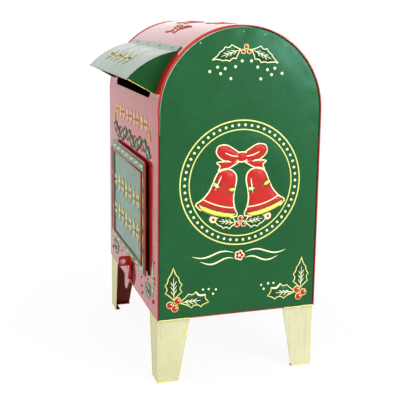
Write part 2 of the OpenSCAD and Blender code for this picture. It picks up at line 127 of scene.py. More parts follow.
def spline(a: float, b: float, c: float, d: float, t: float) -> float:
    """Gives one coordinate of the smooth curve between b and c that comes from a and runs on to d."""
    bend, twist = 2 * a - 5 * b + 4 * c - d, 3 * b - a - 3 * c + d
    return 0.5 * (2 * b + (c - a) * t + bend * t * t + twist * t**3)


def through(points: Sequence[Point2], steps: int = 6, closed: bool = False) -> Shape:
    """Draws a smooth curve through points.

    Args:
        points: The points, in millimetres on the sheet.
        steps: Pieces between one point and the next.
        closed: Whether the curve runs back to its start.

    Returns:
        The points of the curve.
    """
    n = len(points)
    spans = n if closed else n - 1
    made: Shape = []
    for i in range(spans):
        if closed:
            p = [points[(i + k) % n] for k in (-1, 0, 1, 2)]
        else:
            p = [points[min(max(i + k, 0), n - 1)] for k in (-1, 0, 1, 2)]
        for j in range(steps):
            made.append(tuple(spline(*(spot[c] for spot in p), j / steps) for c in (0, 1)))
    if not closed:
        made.append(points[-1])
    return made


def placed(
    points: Sequence[Point2],
    at: Point2 = (0.0, 0.0),
    turn: float = 0.0,
    size: float = 1.0,
    mirror: bool = False,
) -> Shape:
    """Moves, turns, scales and mirrors a flat shape.

    Args:
        points: The shape.
        at: Where its own zero point goes.
        turn: Turn in degrees, anticlockwise.
        size: Scale factor.
        mirror: Whether left and right swap first; the order is kept anticlockwise.

    Returns:
        The placed shape.
    """
    c, s = math.cos(math.radians(turn)) * size, math.sin(math.radians(turn)) * size
    source = [(-u, v) for u, v in reversed(points)] if mirror else list(points)
    return [(at[0] + c * u - s * v, at[1] + s * u + c * v) for u, v in source]


def mirrored(half: Sequence[Point2]) -> Shape:
    """Closes a right-hand half outline, listed from the top down, into a whole anticlockwise one."""
    left = [(-u, v) for u, v in half if u > 0.01]
    return left + [p for p in reversed(half)]


def ring(radius: float, count: int, at: Point2 = (0.0, 0.0)) -> Shape:
    """Lists the points of a circle, anticlockwise."""
    angles = [2 * math.pi * i / count for i in range(count)]
    return [(at[0] + radius * math.cos(a), at[1] + radius * math.sin(a)) for a in angles]


def sagging(reach: float, level: float, sag: float = 1.1) -> Shape:
    """Lists a level line, from minus reach to reach, that sags towards its middle."""
    shares = [i / 6 - 1 for i in range(13)]
    return [(reach * t, level - sag * (1 - t**2)) for t in shares]


def shrunk(outline: Sequence[Point2], by: float) -> Shape:
    """Moves the edges of a convex anticlockwise outline inwards.

    Args:
        outline: The corners.
        by: How far each edge moves, in millimetres.

    Returns:
        The smaller outline, with as many corners.
    """
    n = len(outline)
    made: Shape = []
    for i in range(n):
        a, b, c = (Vector(outline[(i + k) % n]) for k in (-1, 0, 1))
        first, second = (b - a).normalized(), (c - b).normalized()
        m, k = Vector((-first.y, first.x)), Vector((-second.y, second.x))
        spot = b + (m + k) * (by / max(1.0 + m.dot(k), 0.3))
        made.append((spot.x, spot.y))
    return made


def edge_gap(spot: Point2, outline: Sequence[Point2]) -> float:
    """Finds how far a point is from an outline's nearest edge.

    Args:
        spot: The point.
        outline: The corners.

    Returns:
        The distance, in the outline's own units.
    """
    best = 1e9
    pu, pv = spot
    for (au, av), (bu, bv) in zip(outline, (*outline[1:], outline[0])):
        du, dv = bu - au, bv - av
        t = min(max(((pu - au) * du + (pv - av) * dv) / (du * du + dv * dv + 1e-12), 0.0), 1.0)
        best = min(best, math.hypot(au + du * t - pu, av + dv * t - pv))
    return best


def filled(outline: Sequence[Point2], pitch: float) -> tuple[Shape, list[list[int]]]:
    """Fills an outline with even triangles.

    Args:
        outline: The corners, anticlockwise.
        pitch: Distance between the points inside, in millimetres.

    Returns:
        The points and the triangles.
    """
    us, vs = [p[0] for p in outline], [p[1] for p in outline]
    inner: Shape = []
    rise = 0.866  # share of the pitch from one row of even triangles to the next
    for j in range(int((max(vs) - min(vs)) / (pitch * rise)) + 1):
        v = min(vs) + (j + 0.5) * pitch * rise
        for i in range(int((max(us) - min(us)) / pitch) + 2):
            inner.append((min(us) + (i + 0.5 * (j % 2)) * pitch, v))
    clear = [p for p in inner if within(p, outline) and edge_gap(p, outline) > 0.45 * pitch]
    spots = [Vector(p) for p in (*outline, *clear)]
    n = len(outline)
    edges = [(i, (i + 1) % n) for i in range(n)]
    points, _, faces, *_ = delaunay_2d_cdt(spots, edges, [list(range(n))], 1, 1e-5, False)
    kept: list[list[int]] = []
    for face in faces:
        middle = sum((points[i] for i in face), Vector((0.0, 0.0))) / len(face)
        if within((middle.x, middle.y), outline):
            kept.append(list(face))
    return [(p.x, p.y) for p in points], kept


def within(spot: Point2, outline: Sequence[Point2]) -> bool:
    """Tells whether a point is inside an outline.

    Args:
        spot: The point.
        outline: The corners.

    Returns:
        True where it is inside.
    """
    inside = False
    u, v = spot
    for (au, av), (bu, bv) in zip(outline, (*outline[1:], outline[0])):
        if (av > v) != (bv > v) and u < (bu - au) * (v - av) / (bv - av) + au:
            inside = not inside
    return inside


def settle(name: str, bm: bmesh.types.BMesh, *paints: bpy.types.Material) -> bpy.types.Object:
    """Turns a bmesh in millimetres into an object in metres.

    Args:
        name: Name of the piece.
        bm: The shape, which is freed.
        *paints: Its materials, in slot order.

    Returns:
        The object, linked to the scene.
    """
    bmesh.ops.scale(bm, vec=(MM, MM, MM), verts=bm.verts)
    mesh = bpy.data.meshes.new(name)
    bm.to_mesh(mesh)
    bm.free()
    for paint in paints:
        mesh.materials.append(paint)
    made = bpy.data.objects.new(name, mesh)
    bpy.context.scene.collection.objects.link(made)
    return made


def freeze(obj: bpy.types.Object) -> bpy.types.Object:
    """Turns an object with modifiers into its plain result.

    Args:
        obj: The object.

    Returns:
        The same object, with a plain mesh.
    """
    bpy.context.view_layer.update()
    graph = bpy.context.evaluated_depsgraph_get()
    mesh = bpy.data.meshes.new_from_object(obj.evaluated_get(graph))
    obj.modifiers.clear()
    old, obj.data = obj.data, mesh
    mesh.name = obj.name
    bpy.data.meshes.remove(old)
    return obj


def hand_over(obj: bpy.types.Object, body: str, slot: str, *nodes: str) -> bpy.types.Object:
    """Makes a piece ride with a body and hides the CAD nodes it stands for.

    Args:
        obj: The piece.
        body: The body it rides with.
        slot: Not used.
        *nodes: The CAD nodes it stands for, if any.

    Returns:
        The piece.
    """
    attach(obj, body)
    if nodes:
        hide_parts(*nodes)
    LOG.info("%s: %d faces on %s", obj.name, len(obj.data.polygons), body)
    return obj


# --- finishes ----------------------------------------------------------------------------------


def blank_material(name: str) -> tuple[bpy.types.Material, bpy.types.NodeTree]:
    """Starts a material with an empty tree.

    Args:
        name: The material's name.

    Returns:
        The material and its tree.
    """
    made = bpy.data.materials.new(name)
    made.use_nodes = True
    made.node_tree.nodes.clear()
    return made, made.node_tree


@dataclass(frozen=True)
class Outside:
    """Where a thin sheet's painted outside ends and its inside begins, in millimetres of the frame.

    A point is outside where it is beyond any of the limits that are given. They are its distance across
    from the box's middle, its distance from a place in the box's depth, and its distance from an axis along
    x at y and z. Below the axis, only the distance in y counts.
    """

    across: float | None = None
    deep: tuple[float, float] | None = None
    round_axis: tuple[float, float, float] | None = None

    def mask(self, tree: bpy.types.NodeTree, place: bpy.types.NodeSocket) -> bpy.types.NodeSocket:
        """Builds the nodes that give one outside and nought inside.

        Args:
            tree: The material's tree.
            place: Socket with the Object coordinates.

        Returns:
            Socket with the mask.
        """
        axes = node(tree, "ShaderNodeSeparateXYZ", {0: place})
        limits: list[tuple[bpy.types.NodeSocket, float]] = []
        if self.across is not None:
            reach = node(tree, "ShaderNodeMath", {0: axes.outputs[0]}, operation="ABSOLUTE")
            limits.append((reach.outputs[0], self.across))
        if self.deep is not None:
            middle = node(
                tree, "ShaderNodeMath", {0: axes.outputs[1], 1: self.deep[0] * MM}, operation="SUBTRACT"
            )
            reach = node(tree, "ShaderNodeMath", {0: middle.outputs[0]}, operation="ABSOLUTE")
            limits.append((reach.outputs[0], self.deep[1]))
        if self.round_axis is not None:
            y, z, r = self.round_axis
            dy = node(tree, "ShaderNodeMath", {0: axes.outputs[1], 1: y * MM}, operation="SUBTRACT")
            dz = node(tree, "ShaderNodeMath", {0: axes.outputs[2], 1: z * MM}, operation="SUBTRACT")
            dz = node(tree, "ShaderNodeMath", {0: dz.outputs[0], 1: 0.0}, operation="MAXIMUM")
            both = node(tree, "ShaderNodeCombineXYZ", {0: dy.outputs[0], 1: dz.outputs[0]})
            size = node(tree, "ShaderNodeVectorMath", {0: both.outputs[0]}, operation="LENGTH")
            limits.append((size.outputs["Value"], r))
        found = None
        for reach, limit in limits:
            test = node(
                tree, "ShaderNodeMath", {0: reach, 1: limit * MM}, operation="GREATER_THAN"
            ).outputs[0]
            if found is not None:
                test = node(tree, "ShaderNodeMath", {0: found, 1: test}, operation="MAXIMUM").outputs[0]
            found = test
        return found


@dataclass(frozen=True)
class Enamel:
    """Stoved gloss enamel on rolled tinplate.

    It gives the eye an even colour that drifts a little between thick and thin coats, a fine orange peel
    and the slow waves of the thin sheet under it, which bend the reflections. Where it is scuffed, the
    marks run down the sheet. Pattern sizes (cloud, peel, wave, rub, dust, film) and depths are in
    millimetres.
    """

    name: str
    colour: str
    drift: str
    roughness: float = 0.24
    inside: str | None = None
    outside: Outside | None = None
    cloud: float = 34.0
    peel: float = 1.4
    peel_depth: float = 0.006
    wave: float = 26.0
    wave_depth: float = 0.10
    grain: tuple[float, float, float] = (1.0, 1.0, 1.0)
    ior: float = 1.38
    sheen: str = "#ffffff"
    rub: float = 3.4
    scuffs: float = 0.0
    scuff_colour: str = "#6b5a3c"
    dust: float = 1.1
    film: float = 9.0

    def tint(self, tree: bpy.types.NodeTree, place: bpy.types.NodeSocket) -> bpy.types.NodeSocket:
        """Builds the nodes of the coat's drift, its scuffs, the sheet's other side and the dust.

        Args:
            tree: The material's tree.
            place: Socket with the Object coordinates.

        Returns:
            Socket with the colour.
        """
        cloud = node(
            tree,
            "ShaderNodeTexNoise",
            {"Vector": place, "Scale": 1 / (self.cloud * MM), "Detail": 3.0, "Roughness": 0.55},
        )
        spread = node(
            tree, "ShaderNodeMapRange", {"Value": cloud.outputs["Fac"], "From Min": 0.32, "From Max": 0.68}
        )
        coat = node(
            tree,
            "ShaderNodeMix",
            {0: spread.outputs[0], 6: linear(self.colour), 7: linear(self.drift)},
            data_type="RGBA",
        )
        colour = coat.outputs[2]
        if self.scuffs > 0:
            brushed = node(tree, "ShaderNodeMapping", {"Vector": place, "Scale": self.grain})
            rub = node(
                tree,
                "ShaderNodeTexNoise",
                {
                    "Vector": brushed.outputs[0],
                    "Scale": 1 / (self.rub * MM),
                    "Detail": 3.0,
                    "Roughness": 0.6,
                },
            )
            worn = node(
                tree,
                "ShaderNodeMapRange",
                {"Value": rub.outputs["Fac"], "From Min": 0.54, "From Max": 0.74, "To Max": self.scuffs},
            )
            colour = node(
                tree,
                "ShaderNodeMix",
                {0: worn.outputs[0], 6: colour, 7: linear(self.scuff_colour)},
                data_type="RGBA",
            ).outputs[2]
        if self.inside and self.outside:
            side = self.outside.mask(tree, place)
            colour = node(
                tree, "ShaderNodeMix", {0: side, 6: linear(self.inside), 7: colour}, data_type="RGBA"
            ).outputs[2]
        dust = node(
            tree, "ShaderNodeTexNoise", {"Vector": place, "Scale": 1 / (self.dust * MM), "Detail": 2.0}
        )
        fleck = node(
            tree,
            "ShaderNodeMapRange",
            {
                "Value": dust.outputs["Fac"],
                "From Min": 0.3,
                "From Max": 0.7,
                "To Min": 0.94,
                "To Max": 1.05,
            },
        )
        return node(
            tree, "ShaderNodeVectorMath", {0: colour, "Scale": fleck.outputs[0]}, operation="SCALE"
        ).outputs[0]

    def skin(self, tree: bpy.types.NodeTree, place: bpy.types.NodeSocket) -> bpy.types.NodeSocket:
        """Builds the nodes of the orange peel and the waves of the sheet.

        Args:
            tree: The material's tree.
            place: Socket with the Object coordinates.

        Returns:
            Socket with the normal.
        """
        peel = node(
            tree, "ShaderNodeTexNoise", {"Vector": place, "Scale": 1 / (self.peel * MM), "Detail": 1.0}
        )
        drawn = node(tree, "ShaderNodeMapping", {"Vector": place, "Scale": self.grain})
        sheet = node(
            tree,
            "ShaderNodeTexNoise",
            {"Vector": drawn.outputs[0], "Scale": 1 / (self.wave * MM), "Detail": 2.0},
        )
        fine = node(
            tree, "ShaderNodeMath", {0: peel.outputs["Fac"], 1: self.peel_depth}, operation="MULTIPLY"
        )
        slow = node(
            tree,
            "ShaderNodeMath",
            {0: sheet.outputs["Fac"], 1: self.wave_depth, 2: fine.outputs[0]},
            operation="MULTIPLY_ADD",
        )
        height = {"Strength": 1.0, "Distance": MM, "Height": slow.outputs[0]}
        return node(tree, "ShaderNodeBump", height).outputs[0]

    def make(self) -> bpy.types.Material:
        """Builds the material, or gives the one already built.

        Returns:
            The material, which all pieces with this finish share.
        """
        if self.name in bpy.data.materials:
            return bpy.data.materials[self.name]
        made, tree = blank_material(self.name)
        place = node(tree, "ShaderNodeTexCoord").outputs["Object"]
        film = node(
            tree, "ShaderNodeTexNoise", {"Vector": place, "Scale": 1 / (self.film * MM), "Detail": 3.0}
        )
        rough = node(
            tree,
            "ShaderNodeMapRange",
            {
                "Value": film.outputs["Fac"],
                "From Min": 0.3,
                "From Max": 0.7,
                "To Min": self.roughness - 0.04,
                "To Max": self.roughness + 0.06,
            },
        )
        shader = node(
            tree,
            "ShaderNodeBsdfPrincipled",
            {
                "Base Color": self.tint(tree, place),
                "Roughness": rough.outputs[0],
                "Normal": self.skin(tree, place),
                "IOR": self.ior,
                "Specular Tint": linear(self.sheen),
            },
        )
        node(tree, "ShaderNodeOutputMaterial", {"Surface": shader.outputs[0]})
        return made


@dataclass(frozen=True)
class BareTin:
    """Bright tinplate as it comes from the press, gone dull with handling.

    It gives the eye a soft grey metal with fine rub marks and darker stains scattered at random. Pattern
    sizes (blot, rub) and the depth of the marks are in millimetres.
    """

    name: str
    colour: str = "#c2c0b6"
    stain: str = "#7d776a"
    roughness: float = 0.36
    blot: float = 3.0
    rub: float = 0.9
    rub_depth: float = 0.02

    def make(self) -> bpy.types.Material:
        """Builds the material, or gives the one already built.

        Returns:
            The material, which all pieces with this finish share.
        """
        if self.name in bpy.data.materials:
            return bpy.data.materials[self.name]
        made, tree = blank_material(self.name)
        place = node(tree, "ShaderNodeTexCoord").outputs["Object"]
        stain = node(
            tree,
            "ShaderNodeTexNoise",
            {"Vector": place, "Scale": 1 / (self.blot * MM), "Detail": 5.0, "Roughness": 0.65},
        )
        spread = node(
            tree, "ShaderNodeMapRange", {"Value": stain.outputs["Fac"], "From Min": 0.45, "From Max": 0.75}
        )
        metal = node(
            tree,
            "ShaderNodeMix",
            {0: spread.outputs[0], 6: linear(self.colour), 7: linear(self.stain)},
            data_type="RGBA",
        )
        rough = node(
            tree,
            "ShaderNodeMapRange",
            {
                "Value": stain.outputs["Fac"],
                "From Min": 0.3,
                "From Max": 0.7,
                "To Min": self.roughness - 0.08,
                "To Max": self.roughness + 0.14,
            },
        )
        turned = node(tree, "ShaderNodeMapping", {"Vector": place, "Scale": (4.0, 1.0, 0.25)})
        rub = node(
            tree,
            "ShaderNodeTexNoise",
            {"Vector": turned.outputs[0], "Scale": 1 / (self.rub * MM), "Detail": 3.0},
        )
        bump = node(
            tree, "ShaderNodeBump", {
                "Strength": 0.5, "Distance": self.rub_depth * MM, "Height": rub.outputs["Fac"]
            }
        )
        shader = node(
            tree,
            "ShaderNodeBsdfPrincipled",
            {
                "Base Color": metal.outputs[2],
                "Metallic": 1.0,
                "Roughness": rough.outputs[0],
                "Normal": bump.outputs[0],
            },
        )
        node(tree, "ShaderNodeOutputMaterial", {"Surface": shader.outputs[0]})
        return made


class Paint(Enum):
    """Colours of the pressed and printed ornament, and of the painted shade, painted dark reflection and
    painted highlights on the sheets.
    """

    CREAM = Enamel(
        "cream_line_enamel",
        "#eff3cb",
        "#e7eaae",
        roughness=0.3,
        wave_depth=0.0,
        scuffs=0.25,
        scuff_colour="#c9c47c",
    )
    STRAW = Enamel(
        "straw_line_enamel",
        "#e2e08c",
        "#d8d474",
        roughness=0.3,
        wave_depth=0.0,
        scuffs=0.3,
        scuff_colour="#eff0c4",
    )
    YELLOW = Enamel("yellow_line_enamel", "#e6da5e", "#dac94c", roughness=0.3, wave_depth=0.0)
    RED = Enamel("red_figure_enamel", "#b7221e", "#a31b19", roughness=0.26, ior=1.3, wave_depth=0.02)
    GOLD = Enamel("gold_print_enamel", "#c4bd84", "#b0a766", roughness=0.32, wave_depth=0.0)
    BRASS = Enamel("brass_print_enamel", "#cbac7c", "#b99763", roughness=0.36, wave_depth=0.0)
    # painted dark reflection: a darker red for wall that reflects a dark gap rather than the white surround
    DULL = Enamel("dull_red_enamel", "#8f1c1a", "#7c1513", roughness=0.6, ior=1.12, wave_depth=0.0)
    # black painted shade for the dark gaps by the lock tab and beside the door
    BLACK = Enamel("black_slit_enamel", "#100e0c", "#0b0a08", roughness=0.7, ior=1.1, wave_depth=0.0)
    PINE = Enamel("pine_print_enamel", "#1c4a30", "#163d27", roughness=0.28, wave_depth=0.0)
    LEAF = Enamel("leaf_print_enamel", "#5f9f80", "#3f8262", roughness=0.28, wave_depth=0.02)
    FOREST = Enamel(
        "forest_print_enamel", "#15421a", "#133b17", roughness=0.25, wave_depth=0.02, sheen="#adfff3"
    )
    # pale teal: print on the leaves, and painted highlights on the panels' arched edges and crimp dents
    RUBBED = Enamel("rubbed_edge_enamel", "#a4cdb6", "#6da283", roughness=0.3, wave_depth=0.0, cloud=16.0)
    SHINE = Enamel("pale_highlight_enamel", "#fbf7e4", "#f4ecd2", roughness=0.3, wave_depth=0.0)


class Coat(Enum):
    """Finishes of the sheet parts."""

    SHELL = Enamel(
        "red_enamel_shell",
        "#9f1613",
        "#971412",
        roughness=0.12,
        inside="#6c2824",
        outside=Outside(across=68.35, round_axis=(*ROOF_CENTRE, ROOF_RADIUS - HALF_SHEET)),
        wave=7.0,
        wave_depth=0.15,
        grain=(1.0, 1.0, 0.08),
        ior=1.5,
    )
    RED = Enamel("red_enamel_trim", "#cc1a17", "#b81613", roughness=0.24)
    GREEN = Enamel(
        "green_enamel_side",
        "#1a4e22",
        "#18471e",
        roughness=0.25,
        wave=32.0,
        wave_depth=0.10,
        sheen="#adfff3",
    )
    HOOD = Enamel(
        "green_enamel_hood",
        "#175a2e",
        "#145128",
        roughness=0.2,
        inside="#1c1c16",
        outside=Outside(round_axis=(*HOOD_CENTRE, HOOD_RADIUS - HALF_SHEET)),
        ior=1.5,
    )
    CHEEK = Enamel(
        "green_enamel_cheek",
        "#0b3e16",
        "#124a1d",
        roughness=0.36,
        ior=1.22,
        inside="#1c1c16",
        outside=Outside(across=58.6),
        cloud=14.0,
    )
    DOOR = Enamel("green_enamel_door", "#175c38", "#144f30", roughness=0.22, ior=1.45)
    FIELD = Enamel("green_enamel_field", "#27694a", "#226043", roughness=0.22, ior=1.45)
    HINGE = Enamel("red_enamel_hinge", "#a82a26", "#8f1e1b", roughness=0.3, ior=1.7)
    INSIDE = Enamel("maroon_enamel_inside", "#66241f", "#561c19", roughness=0.34)
    LEG = Enamel(
        "cream_enamel_leg",
        "#c4c39d",
        "#bbb990",
        roughness=0.32,
        ior=1.24,
        inside="#6c2824",
        outside=Outside(across=67.7, deep=(8.0, 49.0)),
        scuffs=0.75,
        scuff_colour="#a8a694",
        cloud=26.0,
        grain=(1.0, 1.0, 0.12),
        rub=2.6,
    )
    # pale grey-green painted sheen on the green rivets, standing in for the white surround's reflection on
    # the hood
    RIVET = Enamel("green_enamel_rivet", "#a9bdb0", "#93ab9c", roughness=0.45)
    TIN = BareTin("bare_tinplate")


# --- faces that carry ornament -----------------------------------------------------------------


@dataclass(frozen=True)
class FlatFace:
    """A flat sheet seen from outside: u runs to the viewer's right, v up and h outwards, in millimetres."""

    origin: Vector
    right: Vector
    outward: Vector
    swell: Callable[[float, float], float] | None = None

    def at(self, u: float, v: float, h: float = 0.0) -> Vector:
        """Gives the point of the frame at a place on the sheet."""
        lift = h + (self.swell(u, v) if self.swell else 0.0)
        return self.origin + self.right * u + UP * v + self.outward * lift

    def facing(self, u: float, v: float) -> Vector:
        """Gives the outward direction."""
        return self.outward


@dataclass(frozen=True)
class RolledFace:
    """A sheet rolled round an axis along x: u runs along it and v is in degrees up from the front."""

    centre: tuple[float, float]
    radius: float

    def at(self, u: float, v: float, h: float = 0.0) -> Vector:
        """Gives the point of the frame at a place on the sheet."""
        a, r = math.radians(v), self.radius + h
        return Vector((u, self.centre[0] - r * math.cos(a), self.centre[1] + r * math.sin(a)))

    def facing(self, u: float, v: float) -> Vector:
        """Gives the outward direction."""
        a = math.radians(v)
        return Vector((0.0, -math.cos(a), math.sin(a)))


@dataclass(frozen=True)
class RolledPatch:
    """A flat drawing area laid on a rolled sheet, in millimetres from its own middle."""

    face: RolledFace
    middle: tuple[float, float]

    def at(self, u: float, v: float, h: float = 0.0) -> Vector:
        """Gives the point of the frame at a place on the drawing."""
        return self.face.at(self.middle[0] + u, self.middle[1] + math.degrees(v / self.face.radius), h)

    def facing(self, u: float, v: float) -> Vector:
        """Gives the outward direction."""
        return self.face.facing(u, self.middle[1] + math.degrees(v / self.face.radius))


Face = FlatFace | RolledFace | RolledPatch


# --- geometry nodes ----------------------------------------------------------------------------


def new_tree(
    name: str, inputs: Sequence[tuple[str, str, object]]
) -> tuple[bpy.types.NodeTree, bpy.types.Node]:
    """Starts a geometry tree.

    Args:
        name: The tree's name.
        inputs: Name, socket type and default of each named input after the geometry.

    Returns:
        The tree and its Group Input node.
    """
    tree = bpy.data.node_groups.new(name, "GeometryNodeTree")
    tree.interface.new_socket("Geometry", in_out="INPUT", socket_type="NodeSocketGeometry")
    for label, kind, default in inputs:
        socket = tree.interface.new_socket(label, in_out="INPUT", socket_type=kind)
        if default is not None:
            socket.default_value = default
    tree.interface.new_socket("Geometry", in_out="OUTPUT", socket_type="NodeSocketGeometry")
    return tree, node(tree, "NodeGroupInput")


def close_tree(
    tree: bpy.types.NodeTree, shape: bpy.types.NodeSocket, paint: bpy.types.NodeSocket
) -> bpy.types.NodeTree:
    """Ends a geometry tree with smooth shading, real geometry and its material.

    Args:
        tree: The tree.
        shape: Socket with the geometry.
        paint: Socket with the material.

    Returns:
        The tree.
    """
    smooth = node(tree, "GeometryNodeSetShadeSmooth", {"Geometry": shape})
    real = node(tree, "GeometryNodeRealizeInstances", {"Geometry": smooth.outputs[0]})
    painted = node(tree, "GeometryNodeSetMaterial", {"Geometry": real.outputs[0], "Material": paint})
    node(tree, "NodeGroupOutput", {0: painted.outputs[0]})
    return tree


def bead_tree() -> bpy.types.NodeTree:
    """Builds the tree that rolls a bead along the lines of a mesh, as thick as its half_width says.

    Returns:
        The tree, which is built once.
    """
    if "rolled_bead" in bpy.data.node_groups:
        return bpy.data.node_groups["rolled_bead"]
    tree, given = new_tree(
        "rolled_bead",
        [
            ("Fullness", "NodeSocketFloat", 1.0),
            ("Facets", "NodeSocketInt", 8),
            ("Paint", "NodeSocketMaterial", None),
        ],
    )
    curve = node(tree, "GeometryNodeMeshToCurve", {"Mesh": given.outputs["Geometry"]})
    width = node(tree, "GeometryNodeInputNamedAttribute", {"Name": "half_width"}, data_type="FLOAT")
    full = node(
        tree, "ShaderNodeMath", {0: width.outputs[0], 1: given.outputs["Fullness"]}, operation="MULTIPLY"
    )
    profile = node(
        tree, "GeometryNodeCurvePrimitiveCircle", {"Resolution": given.outputs["Facets"], "Radius": 1.0}
    )
    swept = node(
        tree,
        "GeometryNodeCurveToMesh",
        {
            "Curve": curve.outputs[0],
            "Profile Curve": profile.outputs[0],
            "Scale": full.outputs[0],
            "Fill Caps": True,
        },
    )
    return close_tree(tree, swept.outputs[0], given.outputs["Paint"])


def stud_tree() -> bpy.types.NodeTree:
    """Builds the tree that sets a flattened dome on every point, turned to its facing attribute.

    Returns:
        The tree, which is built once.
    """
    if "pressed_stud" in bpy.data.node_groups:
        return bpy.data.node_groups["pressed_stud"]
    tree, given = new_tree(
        "pressed_stud",
        [
            ("Flatness", "NodeSocketFloat", 0.55),
            ("Segments", "NodeSocketInt", 12),
            ("Rings", "NodeSocketInt", 7),
            ("Paint", "NodeSocketMaterial", None),
        ],
    )
    ball = node(
        tree,
        "GeometryNodeMeshUVSphere",
        {"Segments": given.outputs["Segments"], "Rings": given.outputs["Rings"], "Radius": 1.0},
    )
    facing = node(tree, "GeometryNodeInputNamedAttribute", {"Name": "facing"}, data_type="FLOAT_VECTOR")
    width = node(tree, "GeometryNodeInputNamedAttribute", {"Name": "half_width"}, data_type="FLOAT")
    turn = node(tree, "FunctionNodeAlignRotationToVector", {"Vector": facing.outputs[0]}, axis="Z")
    height = node(
        tree, "ShaderNodeMath", {0: width.outputs[0], 1: given.outputs["Flatness"]}, operation="MULTIPLY"
    )
    size = node(
        tree, "ShaderNodeCombineXYZ", {0: width.outputs[0], 1: width.outputs[0], 2: height.outputs[0]}
    )
    points = node(tree, "GeometryNodeMeshToPoints", {"Mesh": given.outputs["Geometry"]})
    domes = node(
        tree,
        "GeometryNodeInstanceOnPoints",
        {
            "Points": points.outputs[0],
            "Instance": ball.outputs[0],
            "Rotation": turn.outputs[0],
            "Scale": size.outputs[0],
        },
    )
    return close_tree(tree, domes.outputs[0], given.outputs["Paint"])


def grown(
    name: str,
    tree: bpy.types.NodeTree,
    lines: Sequence[Line],
    paint: bpy.types.Material,
    facings: list[Vector] | None = None,
    **inputs: float,
) -> bpy.types.Object:
    """Runs a geometry tree over lines or points and keeps the plain result.

    Args:
        name: Name of the piece.
        tree: The tree to run.
        lines: The lines, in millimetres; only their points count where the tree needs facings.
        paint: The material given to the tree.
        facings: Outward direction of each point, where the tree needs it.
        **inputs: Other named inputs of the tree.

    Returns:
        The finished object.
    """
    points: list[Vector] = []
    widths: list[float] = []
    edges: list[tuple[int, int]] = []
    for spots, halves, closed in lines:
        first = len(points)
        points += [p * MM for p in spots]
        widths += [w * MM for w in halves]
        if facings is None:
            edges += [(first + i, first + i + 1) for i in range(len(spots) - 1)]
            if closed:
                edges.append((first + len(spots) - 1, first))
    mesh = bpy.data.meshes.new(name)
    mesh.from_pydata(points, edges, [])
    mesh.attributes.new("half_width", "FLOAT", "POINT").data.foreach_set("value", widths)
    if facings is not None:
        values = [c for facing in facings for c in facing]
        mesh.attributes.new("facing", "FLOAT_VECTOR", "POINT").data.foreach_set("vector", values)
    made = bpy.data.objects.new(name, mesh)
    bpy.context.scene.collection.objects.link(made)
    modifier = made.modifiers.new("shape", "NODES")
    modifier.node_group = tree
    sockets = {item.name: item.identifier for item in tree.interface.items_tree if item.in_out == "INPUT"}
    modifier[sockets["Paint"]] = paint
    for key, value in inputs.items():
        modifier[sockets[key]] = value
    freeze(made)
    for attribute in ("half_width", "facing"):
        if attribute in made.data.attributes:
            made.data.attributes.remove(made.data.attributes[attribute])
    return made


# --- relief ------------------------------------------------------------------------------------


